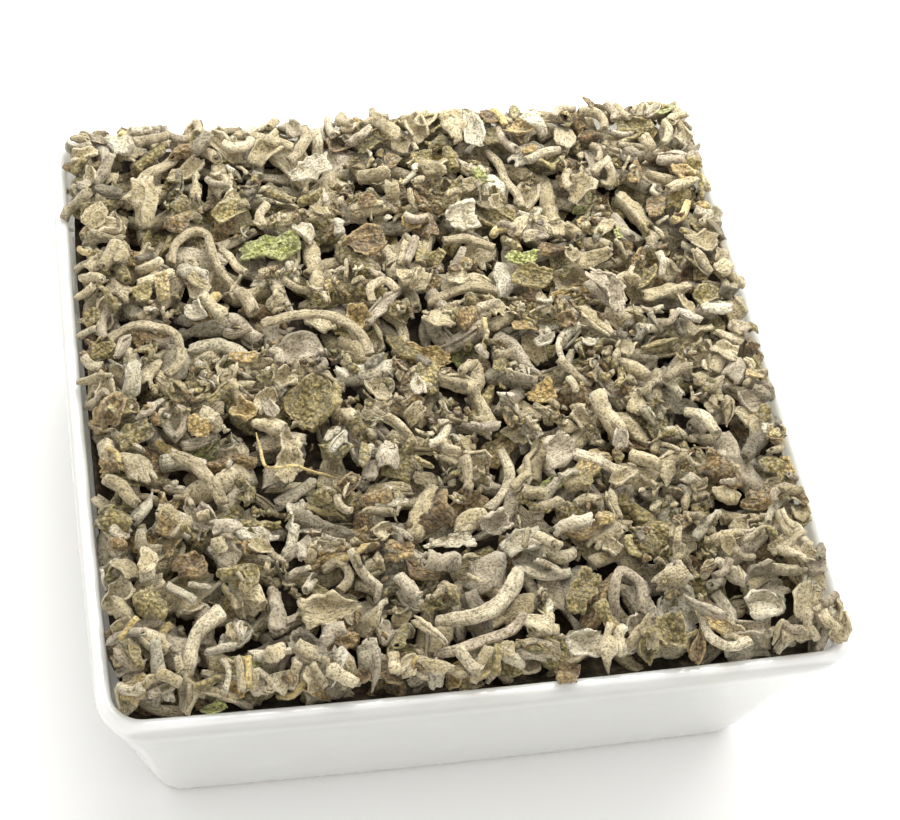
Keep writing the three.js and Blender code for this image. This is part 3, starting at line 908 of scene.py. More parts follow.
class Heap:
    """Heights over the dish on a grid of square cells, which each piece raises as it lands."""

    CELL = 0.5
    CELLS = 200
    SETTLE = 0.7  # how much a stiff piece tilts, against what is under it
    EDGE_COVER = 0.75  # how far to its sides a piece touches, against half its height
    STALK_PASSES = 40
    STALK_DROOP = 0.3
    CLEAR_STEPS = 8

    def __init__(self, fill: Fill) -> None:
        """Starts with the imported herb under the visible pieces.

        Args:
            fill: how the herb lies.
        """
        self.fill = fill
        self.z: list[float] = []
        self.taken = bytearray(self.CELLS * self.CELLS)
        for j in range(self.CELLS):
            for i in range(self.CELLS):
                x = (i + 0.5 - self.CELLS / 2) * self.CELL
                y = (j + 0.5 - self.CELLS / 2) * self.CELL
                on_rim = max(abs(x), abs(y)) > fill.rim_inside
                self.z.append(fill.rim_height if on_rim else fill.top(x, y) - fill.depth)

    def index(self, x: float, y: float) -> int:
        """The cell at a place.

        Args:
            x: the place.
            y: the same.

        Returns:
            Its place in the list of heights.
        """
        i = min(self.CELLS - 1, max(0, math.floor(x / self.CELL + self.CELLS / 2)))
        j = min(self.CELLS - 1, max(0, math.floor(y / self.CELL + self.CELLS / 2)))
        return j * self.CELLS + i

    def need(self, x: float, y: float, side: tuple[float, float], half: float) -> float:
        """The height that the middle of a round piece needs over one point of its line.

        Args:
            x: where the point is.
            y: the same.
            side: the direction to the piece's side.
            half: half its height.

        Returns:
            The height.
        """
        height = -math.inf
        for v in (-self.EDGE_COVER, 0.0, self.EDGE_COVER):
            z = self.z[self.index(x + v * half * side[0], y + v * half * side[1])]
            height = max(height, z + half * math.sqrt(1 - v * v))
        return height

    def needs(self, plan: Plan, half: float) -> list[float]:
        """The needed heights along a plan line.

        Args:
            plan: the line.
            half: half the piece's height.

        Returns:
            One height for each point.
        """
        found = []
        for i, (x, y) in enumerate(plan):
            bx, by = plan[max(0, i - 1)]
            ax, ay = plan[min(len(plan) - 1, i + 1)]
            run = math.hypot(ax - bx, ay - by)
            found.append(self.need(x, y, (-(ay - by) / run, (ax - bx) / run), half))
        return found

    def lay(self, plan: Plan, half: float, sink: float, steepest: float = 0.4) -> Line:
        """Lays a stiff piece: it tilts with what is under it and rests at its highest.

        Args:
            plan: its middle line from above.
            half: half its height.
            sink: how far it settles into what is under it.
            steepest: the steepest that it lies.

        Returns:
            Its middle line.
        """
        needs = self.needs(plan, half)
        last = len(plan) - 1
        reach = math.hypot(plan[last][0] - plan[0][0], plan[last][1] - plan[0][1])
        middle = last / 2
        lean = sum((i - middle) * z for i, z in enumerate(needs))
        spread = sum((i - middle) ** 2 for i in range(len(needs)))
        limit = steepest * reach / last
        step = max(-limit, min(limit, self.SETTLE * lean / spread))
        base = max(z - step * (i - middle) for i, z in enumerate(needs)) - sink
        return [(x, y, base + step * (i - middle)) for i, (x, y) in enumerate(plan)]

    def lay_stalk(self, plan: Plan, half: float, clear: float, lift: float) -> Line:
        """Lays a long bent stalk, which bridges the hollows between the places it touches.

        Args:
            plan: its middle line from above.
            half: half its height.
            clear: how far it lies over what is under it.
            lift: how much higher its middle stands.

        Returns:
            Its middle line.
        """
        z = [need + clear for need in self.needs(plan, half)]
        last = len(plan) - 1
        for _ in range(self.STALK_PASSES):
            for i in range(1, last):
                z[i] = max(z[i], (z[i - 1] + z[i + 1]) / 2)
            z[0] = max(z[0], 2 * z[1] - z[2] - self.STALK_DROOP)
            z[last] = max(z[last], 2 * z[last - 1] - z[last - 2] - self.STALK_DROOP)
        return [(x, y, z[i] + lift * math.sin(math.pi * i / last)) for i, (x, y) in enumerate(plan)]

    def land(self, line: Line, half: float, taken: bool = False) -> None:
        """Raises the cells under a landed piece to its top.

        Args:
            line: its middle line.
            half: half its width.
            taken: whether it stays on top, so that nothing should cover it.
        """
        stride = 0.5 * self.CELL
        for (ax, ay, az), (bx, by, bz) in zip(line, line[1:]):
            run = math.hypot(bx - ax, by - ay)
            count = max(1, math.ceil(run / stride))
            for k in range(count + 1):
                t = k / count
                v = -half
                while v <= half:
                    x = ax + (bx - ax) * t - ((by - ay) / run) * v
                    y = ay + (by - ay) * t + ((bx - ax) / run) * v
                    top = az + (bz - az) * t + math.sqrt(max(0.0, half * half - v * v))
                    cell = self.index(x, y)
                    self.z[cell] = max(self.z[cell], top)
                    if taken:
                        self.taken[cell] = 1
                    v += stride

    def keep_clear(self, line: Line, half: float) -> None:
        """Marks the cells within a distance of a line, so that nothing else should cover them.

        Args:
            line: the line.
            half: the distance.
        """
        around = np.arange(-half, half + 0.1, self.CELL)
        for (ax, ay, _), (bx, by, _) in zip(line, line[1:]):
            for t in np.linspace(0, 1, self.CLEAR_STEPS):
                for dx in around:
                    for dy in around:
                        self.taken[self.index(ax + (bx - ax) * t + dx, ay + (by - ay) * t + dy)] = 1


def bent_plan(x: float, y: float, yaw: float, length: float, bend: float) -> Plan:
    """Three points of a bent plan line of a given length about a middle point.

    Args:
        x: where its middle is.
        y: the same.
        yaw: its direction, in radians.
        length: its length.
        bend: how bent it is, as a share of its length.

    Returns:
        The points.
    """
    plan = []
    for i in range(3):
        s = i / 2 - 0.5
        across = bend * length * (0.25 - s * s)
        px = x + s * length * math.cos(yaw) - across * math.sin(yaw)
        py = y + s * length * math.sin(yaw) + across * math.cos(yaw)
        plan.append((px, py))
    return plan


def arc_plan(x: float, y: float, yaw: float, length: float, hook: float) -> Plan:
    """Five points of a plan line that turns evenly through an angle, about a middle point.

    Args:
        x: where its middle is.
        y: the same.
        yaw: its direction there, in radians.
        length: its length.
        hook: the angle that it turns through, in radians.

    Returns:
        The points.
    """
    steps = 4
    step = length / steps
    plan = [(0.0, 0.0)]
    for i in range(steps):
        heading = yaw + hook * ((i + 0.5) / steps - 0.5)
        px, py = plan[-1]
        plan.append((px + step * math.cos(heading), py + step * math.sin(heading)))
    middle_x = sum(px for px, _ in plan) / len(plan)
    middle_y = sum(py for _, py in plan) / len(plan)
    return [(x + px - middle_x, y + py - middle_y) for px, py in plan]


@dataclass(frozen=True)
class LooseKind:
    """How one kind of loose piece is sized."""

    kind: Kind
    share: float  # how many of all pieces are of this kind
    length: float  # at least
    width: float  # at least
    bend: float  # how bent it may be, as a share of its length
    half: float  # half its height, in widths
    hook: float = 0.0  # how far it may turn along its length, in radians, if it turns evenly


@dataclass
class Landed:
    """A loose piece where it came to rest."""

    kind: Kind
    line: Line
    width: float
    turn: float


@dataclass
class Dropper:
    """Drops loose pieces where the heap is lowest among the places tried."""

    heap: Heap
    draws: Draws
    kinds: tuple[LooseKind, ...]
    more_length: float = 3.8  # how much longer than its least a piece may be
    more_width: float = 1.1
    tries: int = 14
    sink: float = 0.3  # how far a piece settles into what is under it
    steepest: float = 0.4  # the steepest that it lies
    margin: float = 1.4  # how far inside the heap's usual edge its middle stays
    beyond: float = 0.0  # how far past the heap's usual edge a piece may reach
    band: float = 0.0  # the width of the strip along the walls that it keeps to, if any
    out_cost: float = 4.0  # of each millimetre over the edge
    taken_cost: float = 1.5  # of each point over a piece that stays on top
    tilt_cost: float = 0.4  # of each millimetre of unevenness under a point
    over_cost: float = 0.0  # of each millimetre over the ceiling at a point
    wall_ceiling: float = 34.8  # how high pieces should reach at the wall
    ceiling: float = 39.4  # how high they should reach anywhere

    CEILING_RISE = 0.6  # how much higher they may reach for each millimetre from the wall
    SIDE_REACH = 0.4  # how far a piece reaches to its side, in widths

    def drop(self) -> Landed:
        """Drops one piece.

        Returns:
            The piece, where it came to lie.
        """
        draw = self.draws
        loose = self.picked(draw())
        length = loose.length + self.more_length * draw() ** 2
        width = loose.width + self.more_width * draw()
        bend = (draw() - 0.5) * loose.bend
        half = loose.half * width
        best: Line = []
        lowest = math.inf
        for _ in range(self.tries):
            x, y = self.spot()
            yaw = math.pi * draw()
            if loose.hook:
                plan = arc_plan(x, y, yaw, length, bend / loose.bend * 2 * loose.hook)
            else:
                plan = bent_plan(x, y, yaw, length, bend)
            line = self.heap.lay(plan, half, self.sink, self.steepest)
            cost = self.cost(plan, line, width, half)
            if cost < lowest:
                best, lowest = line, cost
        landed = Landed(loose.kind, best, width, draw())
        self.heap.land(best, self.SIDE_REACH * width if loose.kind is FLAKE else half)
        return landed

    def spot(self) -> tuple[float, float]:
        """A place to try.

        Returns:
            Its x and y.
        """
        reach = self.heap.fill.half - self.margin
        x = (2 * self.draws() - 1) * reach
        y = (2 * self.draws() - 1) * reach
        if self.band:
            y = math.copysign(reach - self.band * self.draws(), y)
            if self.draws() < 0.5:
                x, y = y, x
        return x, y

    def picked(self, pick: float) -> LooseKind:
        """The kind that a draw picks, by their shares.

        Args:
            pick: the draw.

        Returns:
            The kind.
        """
        total = 0.0
        for loose in self.kinds:
            total += loose.share
            if pick < total:
                return loose
        return self.kinds[-1]

    def cost(self, plan: Plan, line: Line, width: float, half: float) -> float:
        """How unlikely a place is: high, tilted, over the wall, or over what stays on top.

        Args:
            plan: the piece's middle line from above.
            line: the same line where it would rest.
            width: its width.
            half: half its height.

        Returns:
            The cost, lower for a likelier place.
        """
        heap = self.heap
        x, y, z = line[len(line) // 2]
        reach = max(max(abs(px), abs(py)) for px, py in plan) + self.SIDE_REACH * width
        total = z - heap.fill.top(x, y)
        total += self.out_cost * max(0.0, reach - heap.fill.half - self.beyond)
        for px, py, pz in line:
            total += self.taken_cost * heap.taken[heap.index(px, py)]
            total += self.tilt_cost * abs(z - heap.need(px, py, (0.0, 0.0), half))
            inside = heap.fill.rim_inside - max(abs(px), abs(py))
            limit = min(self.ceiling, self.wall_ceiling + self.CEILING_RISE * inside)
            total += self.over_cost * max(0.0, pz + half - limit)
        return total


# ---------------------------------------------------------------------------------------- materials
def paint(red: int, green: int, blue: int) -> Colour:
    """A colour by its usual screen values, as linear light."""
    shares = (value / 255 for value in (red, green, blue))
    return tuple(c / 12.92 if c <= 0.04045 else ((c + 0.055) / 1.055) ** 2.4 for c in shares)


class Nodes:
    """A small builder of shader nodes for one material."""

    def __init__(self, name: str) -> None:
        """Starts a material with a plain shader.

        Args:
            name: the material's name.
        """
        self.material = bpy.data.materials.new(name)
        self.material.use_nodes = True
        self.tree = self.material.node_tree
        self.shader = self.tree.nodes["Principled BSDF"]

    def feed(self, socket: Socket, value: object) -> None:
        """Joins another socket to an input, or sets its value.

        Args:
            socket: the input.
            value: the socket, or the value.
        """
        if isinstance(value, Socket):
            self.tree.links.new(value, socket)
        else:
            socket.default_value = value

    def add(self, kind: str, inputs: dict[str | int, object], **values: object) -> bpy.types.Node:
        """Adds a node.

        Args:
            kind: its type, without the prefix that all shader nodes have.
            inputs: numbers or sockets for its inputs, by their names or places.
            values: its properties.

        Returns:
            The node.
        """
        node = self.tree.nodes.new(f"ShaderNode{kind}")
        for key, value in values.items():
            setattr(node, key, value)
        for key, value in inputs.items():
            self.feed(node.inputs[key], value)
        return node

    def surface(self, inputs: dict[str, object]) -> bpy.types.Material:
        """Feeds the shader's inputs.

        Args:
            inputs: numbers or sockets, by the inputs' names.

        Returns:
            The material.
        """
        for name, value in inputs.items():
            self.feed(self.shader.inputs[name], value)
        return self.material

    def place(self) -> Socket:
        """Object coordinates, in metres."""
        return self.add("TexCoord", {}).outputs["Object"]

    def noise(self, place: Socket, size: float, detail: float) -> Socket:
        """Noise whose features have a given size in millimetres."""
        inputs = {"Scale": 1 / (size * MM), "Detail": detail, "Vector": place}
        return self.add("TexNoise", inputs).outputs["Fac"]

    def drawn_out(self, size: Span, detail: float) -> Socket:
        """Noise drawn out along a piece.

        Args:
            size: how big its features are, in millimetres round a piece and along it.
            detail: how many finer layers it has.

        Returns:
            The noise.
        """
        grain = self.add("UVMap", {}, uv_map="grain").outputs[0]
        scale = (1 / (size[0] * MM), 1 / (size[1] * MM), 1)
        stretched = self.add("Mapping", {0: grain, "Scale": scale}).outputs[0]
        inputs = {"Scale": 1.0, "Detail": detail, "Vector": stretched}
        return self.add("TexNoise", inputs).outputs["Fac"]

    def pebbles(self, place: Socket, size: float) -> Socket:
        """Distance from the middles of rounded cells of a given size in millimetres."""
        inputs = {"Scale": 1 / (size * MM), "Smoothness": 0.3, "Vector": place}
        return self.add("TexVoronoi", inputs, feature="SMOOTH_F1").outputs["Distance"]

    def ramp(self, fac: Socket, stops: Stops) -> Socket:
        """A run of colours.

        Args:
            fac: where in the run, from 0 to 1.
            stops: places in the run and their colours.

        Returns:
            The colour.
        """
        node = self.add("ValToRGB", {"Fac": fac})
        while len(node.color_ramp.elements) < len(stops):
            node.color_ramp.elements.new(0.5)
        for element, (place, colour) in zip(node.color_ramp.elements, stops):
            element.position = place
            element.color = (*colour, 1.0)
        return node.outputs["Color"]

    def maths(self, operation: str, *values: object) -> Socket:
        """Arithmetic on sockets or numbers."""
        return self.add("Math", dict(enumerate(values)), operation=operation).outputs[0]

    def span(self, value: Socket, start: Span, end: Span) -> Socket:
        """Maps one range to another, and holds it at both ends."""
        names = ("Value", "From Min", "From Max", "To Min", "To Max")
        return self.add("MapRange", dict(zip(names, (value, *start, *end)))).outputs["Result"]

    def shade(self, colour: Socket, value: Socket, start: Span, end: Span) -> Socket:
        """A colour times a factor, which is a value mapped from one range to another."""
        inputs = {0: colour, "Scale": self.span(value, start, end)}
        return self.add("VectorMath", inputs, operation="SCALE").outputs[0]

    def blend(self, factor: Socket, first: Socket, second: Socket) -> Socket:
        """A mix of two colours."""
        return self.add("Mix", {0: factor, 6: first, 7: second}, data_type="RGBA").outputs[2]

    def bump(self, height: Socket, depth: float, strength: float = 1.0) -> Socket:
        """Relief on the surface, of a given depth in millimetres."""
        inputs = {"Distance": depth * MM, "Strength": strength, "Height": height}
        return self.add("Bump", inputs).outputs[0]


@dataclass(frozen=True)
class HerbFinish:
    """The colour of a herb piece, from its darkest patches to its lightest, and its skin."""

    slot: str
    skin: Skin
    dark: Colour
    middle: Colour
    light: Colour
    speck: float = 0.52  # how much darker the fine specks are
    blotch_size: float = 1.8
    speck_size: float = 0.34
    grain_size: float = 0.13
    net_size: float = 0.55
    fold_size: Span = (1.9, 3.4)  # round the piece and along it
    fibre_size: Span = (0.22, 2.0)  # the same
    leaf_depth: float = 0.3  # of the relief on a leaf
    fibre_depth: float = 0.22  # and on a stalk
    veil_size: float = 0.7  # of the patches of dust
    veil: tuple[Colour, Colour] = (paint(168, 158, 132), paint(214, 206, 184))

    @property
    def name(self) -> str:
        """The material's name."""
        return f"{self.slot}_{self.skin.value}"

    def make(self) -> bpy.types.Material:
        """Makes the material.

        Returns:
            The material.
        """
        nodes = Nodes(self.name)
        place = nodes.place()
        tint = nodes.add("Attribute", {}, attribute_name="tint")
        parts = nodes.add("SeparateColor", {0: tint.outputs["Color"]})
        shade, light, dust = (parts.outputs[k] for k in range(3))
        blotch = nodes.span(nodes.noise(place, self.blotch_size, 3), (0.3, 0.7), (-0.32, 0.32))
        level = nodes.maths("ADD", nodes.span(shade, (0, 1), (0.2, 0.8)), blotch)
        colour = nodes.ramp(level, [(0.0, self.dark), (0.5, self.middle), (1.0, self.light)])
        colour = nodes.shade(colour, light, (0, 1), (0.74, 1.28))
        speck = nodes.noise(place, self.speck_size, 2)
        colour = nodes.shade(colour, speck, (0.38, 0.5), (1 - self.speck, 1.08))
        grain = nodes.noise(place, self.grain_size, 2)
        colour = nodes.shade(colour, grain, (0.32, 0.68), (0.8, 1.18))
        height = nodes.maths("MULTIPLY_ADD", grain, 0.7, speck)
        if self.skin is Skin.NETTED:
            net = nodes.pebbles(place, self.net_size)
            # Painted shade and highlight: the grooves between the pebbles are darkened and the
            # pebbles' tops lightened.
            colour = nodes.shade(colour, net, (0.15, 0.7), (1.36, 0.46))
            height = nodes.maths("SUBTRACT", height, nodes.maths("MULTIPLY", net, 1.8))
        if self.skin is Skin.FIBROUS:
            depth = self.fibre_depth
            fibres = nodes.drawn_out(self.fibre_size, 3)
            colour = nodes.shade(colour, fibres, (0.35, 0.65), (0.76, 1.12))
            height = nodes.maths("MULTIPLY_ADD", height, 0.5, fibres)
        else:
            depth = self.leaf_depth
            folds = nodes.maths("SUBTRACT", nodes.drawn_out(self.fold_size, 0), 0.5)
            folds = nodes.maths("ABSOLUTE", folds)
            # Painted shade: the colour darkens along the fold lines, as in the shade of the
            # creases.
            colour = nodes.shade(colour, folds, (0.0, 0.06), (0.86, 1.01))
            crest = nodes.span(folds, (0.0, 0.14), (0.0, 1.0))
            height = nodes.maths("MULTIPLY_ADD", crest, 0.55, height)
            border = nodes.maths("POWER", tint.outputs["Alpha"], 1.8)
            pale_edge = nodes.ramp(speck, [(0.3, self.middle), (0.6, self.light)])
            colour = nodes.blend(nodes.maths("MULTIPLY", border, 0.7), colour, pale_edge)
        veil = nodes.span(nodes.noise(place, self.veil_size, 3), (0.5, 0.66), (0.0, 0.55))
        pale = nodes.ramp(grain, list(zip((0.35, 0.6), self.veil)))
        return nodes.surface({
            "Base Color": nodes.blend(nodes.maths("MULTIPLY", veil, dust), colour, pale),
            "Roughness": 0.92,
            "Specular IOR Level": 0.15,
            "Sheen Weight": 0.3,
            "Sheen Tint": (1.0, 0.96, 0.88, 1.0),
            "Normal": nodes.bump(height, depth),
        })


@dataclass(frozen=True)
class GlazeFinish:
    """White glaze, a little uneven and creamy, with a bare foot ring, with painted shade on the lip
    and rim and painted light inside.
    """

    name: str = "white_glaze"
    white: Colour = (0.66, 0.66, 0.64)
    cream: Colour = (0.64, 0.638, 0.59)
    lip: float = 0.8  # how light the lip and rim are painted against the walls: painted shade that tones down the light they catch
    lip_rise: Span = (31.5, 33)  # the heights over which the painted shade comes in
    inside: float = 1.35  # how much lighter the inside is painted: painted light against the shade that falls between the inner walls and the herb
    wall_lean: float = 0.248  # how far the walls lean out over their height
    between: Span = (40.5, 40.9)  # in the middle of the walls, brought down to the table
    bare: tuple[Colour, Colour] = ((0.62, 0.58, 0.5), paint(190, 182, 165))
    foot: Span = (0.3, 0.5)  # the heights between which the glaze starts

    def make(self) -> bpy.types.Material:
        """Makes the material.

        Returns:
            The material.
        """
        nodes = Nodes(self.name)
        place = nodes.place()
        axes = nodes.add("SeparateXYZ", {0: place}).outputs
        glaze = nodes.ramp(nodes.noise(place, 9, 2), [(0.35, self.white), (0.7, self.cream)])
        # Painted shade: the glaze is darkened from the top of the walls up over the lip and rim,
        # against the light that falls there.
        glaze = nodes.shade(glaze, axes["Z"], self.metres(self.lip_rise), (1.0, self.lip))
        reach = nodes.maths("MAXIMUM", *(nodes.maths("ABSOLUTE", axes[k]) for k in "XY"))
        brought_down = nodes.maths("MULTIPLY_ADD", axes["Z"], -self.wall_lean, reach)
        # Painted light: everything inside the walls is made lighter, to lift the shade on the inner
        # walls.
        glaze = nodes.shade(glaze, brought_down, self.metres(self.between), (self.inside, 1.0))
        clay = nodes.ramp(nodes.noise(place, 0.5, 3), list(zip((0.3, 0.7), self.bare)))
        foot = nodes.span(axes["Z"], self.metres(self.foot), (1.0, 0.0))
        smooth = nodes.span(nodes.noise(place, 4, 3), (0.3, 0.7), (0.08, 0.15))
        return nodes.surface({
            "Base Color": nodes.blend(foot, glaze, clay),
            "Roughness": nodes.maths("MAXIMUM", smooth, nodes.maths("MULTIPLY", foot, 0.8)),
            "Coat Weight": 0.35,
            "Coat Roughness": 0.05,
            "Subsurface Weight": 1.0,
            "Subsurface Radius": (1.0, 0.97, 0.9),
            "Subsurface Scale": 6 * MM,
            "Normal": nodes.bump(nodes.noise(place, 14, 2), 0.3, 0.5),
        })

    @staticmethod
    def metres(span: Span) -> Span:
        """A range of millimetres in metres."""
        return span[0] * MM, span[1] * MM


@dataclass(frozen=True)
class CoreFinish:
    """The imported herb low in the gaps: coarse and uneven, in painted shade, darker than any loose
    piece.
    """

    name: str = "packed_herb_painted_shade"
    # Painted shade: the herb's colours darkened, as they look deep in the gaps.
    stops: Stops = (
        (0.3, paint(30, 24, 15)), (0.55, paint(60, 50, 33)), (0.75, paint(100, 88, 62)))

    def make(self) -> bpy.types.Material:
        """Makes the material.

        Returns:
            The material.
        """
        nodes = Nodes(self.name)
        coarse = nodes.noise(nodes.place(), 1.1, 4)
        return nodes.surface({
            "Base Color": nodes.ramp(coarse, self.stops),
            "Roughness": 0.95,
            "Normal": nodes.bump(coarse, 0.6),
        })


@dataclass(frozen=True)
class TableFinish:
    """A plain white table top."""

    name: str = "white_table"
    white: Colour = (0.93, 0.928, 0.92)
    clouds: float = 0.985  # how light its darkest parts are

    def make(self) -> bpy.types.Material:
        """Makes the material.

        Returns:
            The material.
        """
        nodes = Nodes(self.name)
        darker = tuple(self.clouds * c for c in self.white)
        cloud = nodes.noise(nodes.place(), 60, 2)
        stops = [(0.3, self.white), (0.7, darker)]
        return nodes.surface({"Base Color": nodes.ramp(cloud, stops), "Roughness": 0.6})


# Each colour of herb, from its darkest patches to its lightest, by the skin that wears it.
HERB_COLOURS = {
    Skin.FELTED: {
        "felt": ((139, 125, 88), (185, 169, 131), (217, 203, 168)),
        "mauve": ((137, 124, 100), (177, 164, 138), (209, 196, 171)),
        "pale": ((166, 154, 124), (201, 190, 161), (227, 218, 196)),
        "dark": ((88, 81, 65), (125, 115, 93), (159, 148, 124)),
    },
    Skin.NETTED: {
        "olive": ((106, 94, 51), (159, 142, 89), (199, 183, 128)),
        "brown": ((99, 78, 46), (148, 121, 78), (191, 164, 114)),
        "green": ((134, 136, 66), (184, 187, 108), (220, 220, 158)),
        "ochre": ((145, 116, 60), (192, 163, 101), (225, 201, 144)),
    },
    Skin.FIBROUS: {
        "felt": ((125, 113, 86), (168, 154, 122), (203, 189, 157)),
        "mauve": ((127, 114, 93), (167, 153, 128), (200, 186, 162)),
        "pale": ((150, 139, 111), (194, 181, 150), (225, 214, 187)),
        "straw": ((157, 134, 81), (198, 176, 117), (227, 209, 156)),
    },
}


class Wardrobe:
    """Every herb material, made when it is first needed."""

    def __init__(self) -> None:
        """Lists the finishes."""
        self.finishes = {
            (slot, skin): HerbFinish(slot, skin, *(paint(*colour) for colour in colours))
            for skin, slots in HERB_COLOURS.items()
            for slot, colours in slots.items()
        }
        self.made: dict[str, bpy.types.Material] = {}

    def finish(self, slot: str, kind: Kind) -> HerbFinish:
        """The finish for a colour on a kind of piece.

        Args:
            slot: the colour's name.
            kind: the kind of piece.

        Returns:
            The finish.
        """
        if kind is STALK:
            return self.finishes[slot, Skin.FIBROUS]
        return self.finishes.get((slot, Skin.FELTED)) or self.finishes[slot, Skin.NETTED]

    def dress(self, piece: bpy.types.Object, finish: HerbFinish) -> None:
        """Gives a piece its material.

        Args:
            piece: the piece.
            finish: its finish.
        """
        if finish.name not in self.made:
            self.made[finish.name] = finish.make()
        piece.data.materials.append(self.made[finish.name])


# --------------------------------------------------------------------------------------------- dish
@dataclass
class Dish:
    """The glazed dish: foot ring, tapered walls, upright lip with a rounded top, and the hollow."""

    rim_half: float = 50.0
    base_half: float = 42.2
    height: float = 35.0
    rim_width: float = 2.1
    lip_depth: float = 3.0
    wall: float = 2.4
    floor: float = 3.0
    foot_width: float = 4.2
    foot_inset: float = 0.9
    foot_recess: float = 1.2
    side_bow: float = 0.45
    corner_steps: int = 10
    side_steps: int = 10

    def ring(self, half: float, radius: float, z: float) -> np.ndarray:
        """Points round a square with rounded corners and slightly bowed sides, anticlockwise.

        Args:
            half: half its width.
            radius: of its corners.
            z: its height.

        Returns:
            The points, one row each.
        """
        corner = half - self.side_bow - radius
        rows = []
        for side in range(4):
            turn = side * math.pi / 2
            places = []
            for k in range(1, self.side_steps):
                t = 2 * k / self.side_steps - 1
                places.append((half - self.side_bow * t * t, corner * t))
            for k in range(self.corner_steps + 1):
                angle = k / self.corner_steps * math.pi / 2
                along, across = radius * math.cos(angle), radius * math.sin(angle)
                places.append((corner + along, corner + across))
            rows += [(*turned(u, v, turn), z) for u, v in places]
        return np.array(rows)

    def profile(self) -> list[Point]:
        """Half width, corner radius and height of each ring, from the underside to the floor.

        Returns:
            The rings, in millimetres.
        """
        lip = self.height - self.lip_depth
        inside = self.rim_half - self.rim_width
        foot = self.base_half - self.foot_inset
        inner_foot = foot - self.foot_width
        hollow = self.base_half - self.wall
        return [
            (inner_foot - 0.6, 3.0, self.foot_recess),
            (inner_foot - 0.2, 3.1, 0.4),
            (inner_foot + 0.3, 3.2, 0.0),
            (0.5 * (inner_foot + foot), 3.3, 0.0),
            (foot, 3.4, 0.0),
            (self.base_half - 0.2, 3.7, 0.35),
            (self.base_half + 0.1, 4.0, 1.2),
            (self.base_half + 1.6, 4.4, 0.22 * lip),
            (self.base_half + 3.4, 4.9, 0.5 * lip),
            (self.base_half + 5.1, 5.4, 0.72 * lip),
            (self.rim_half - 1.3, 5.7, lip - 3.6),
            (self.rim_half - 0.75, 5.8, lip - 1.8),
            (self.rim_half - 0.32, 5.9, lip),
            (self.rim_half - 0.08, 6.0, lip + 1.1),
            (self.rim_half, 6.0, self.height - 0.9),
            (self.rim_half - 0.12, 5.9, self.height - 0.35),
            (self.rim_half - 0.45, 5.8, self.height - 0.05),
            (self.rim_half - 0.95, 5.3, self.height),
            (inside + 0.6, 4.7, self.height - 0.02),
            (inside + 0.2, 4.2, self.height - 0.25),
            (inside, 4.0, self.height - 0.9),
            (inside - 0.1, 4.0, self.height - 1.8),
            (inside - 0.3, 4.0, lip - 0.5),
            (0.5 * (inside + hollow), 3.8, 0.55 * lip),
            (hollow + 0.9, 3.6, self.floor + 2.0),
            (hollow + 0.1, 3.4, self.floor + 0.6),
            (hollow - 1.0, 2.8, self.floor + 0.05),
            (hollow - 2.2, 2.4, self.floor),
        ]

    def build(self) -> bpy.types.Object:
        """Extrudes the profile's rings one from another, from the underside to the floor inside.

        Returns:
            The object.
        """
        rings = [self.ring(*row) for row in self.profile()]
        deselect()
        bpy.ops.mesh.primitive_circle_add(
            vertices=len(rings[0]), radius=self.base_half, fill_type="NGON")
        dish = bpy.context.object
        dish.name = "glazed_dish"
        self.move_picked(dish, rings[0])
        for ring in rings[1:]:
            with editing():
                bpy.ops.mesh.extrude_region()
            self.move_picked(dish, ring)
        face_outwards(dish)
        soft = dish.modifiers.new("Soft", "SUBSURF")
        soft.levels = soft.render_levels = 1
        apply_modifiers(dish)
        set_points(dish, points_of(dish) * MM)
        dish.data.shade_smooth()
        dish.data.materials.append(GlazeFinish().make())
        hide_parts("dish")
        return dish

    @staticmethod
    def move_picked(dish: bpy.types.Object, ring: np.ndarray) -> None:
        """Moves the selected ring to its place, matched by direction from the middle.

        Args:
            dish: the dish so far.
            ring: where the selected vertices go, in any order.
        """
        picked = np.array([v.index for v in dish.data.vertices if v.select])
        points = points_of(dish)
        nudge = 0.01  # keeps the first point of a ring from being its last
        now = (np.arctan2(points[picked, 1], points[picked, 0]) + nudge) % (2 * math.pi)
        then = (np.arctan2(ring[:, 1], ring[:, 0]) + nudge) % (2 * math.pi)
        points[picked[np.argsort(now)]] = ring[np.argsort(then)]
        set_points(dish, points)


# ------------------------------------------------------------------------------------- named pieces
@dataclass(frozen=True)
class Named:
    """A piece that stands out on the heap. Its path is its middle line in plan."""

    name: str
    kind: Kind
    slot: str
    path: tuple[tuple[float, float], ...]
    width: float
    wrap: float = 0.0  # how far a flake or curl goes round, in turns
    lift: float = 0.0


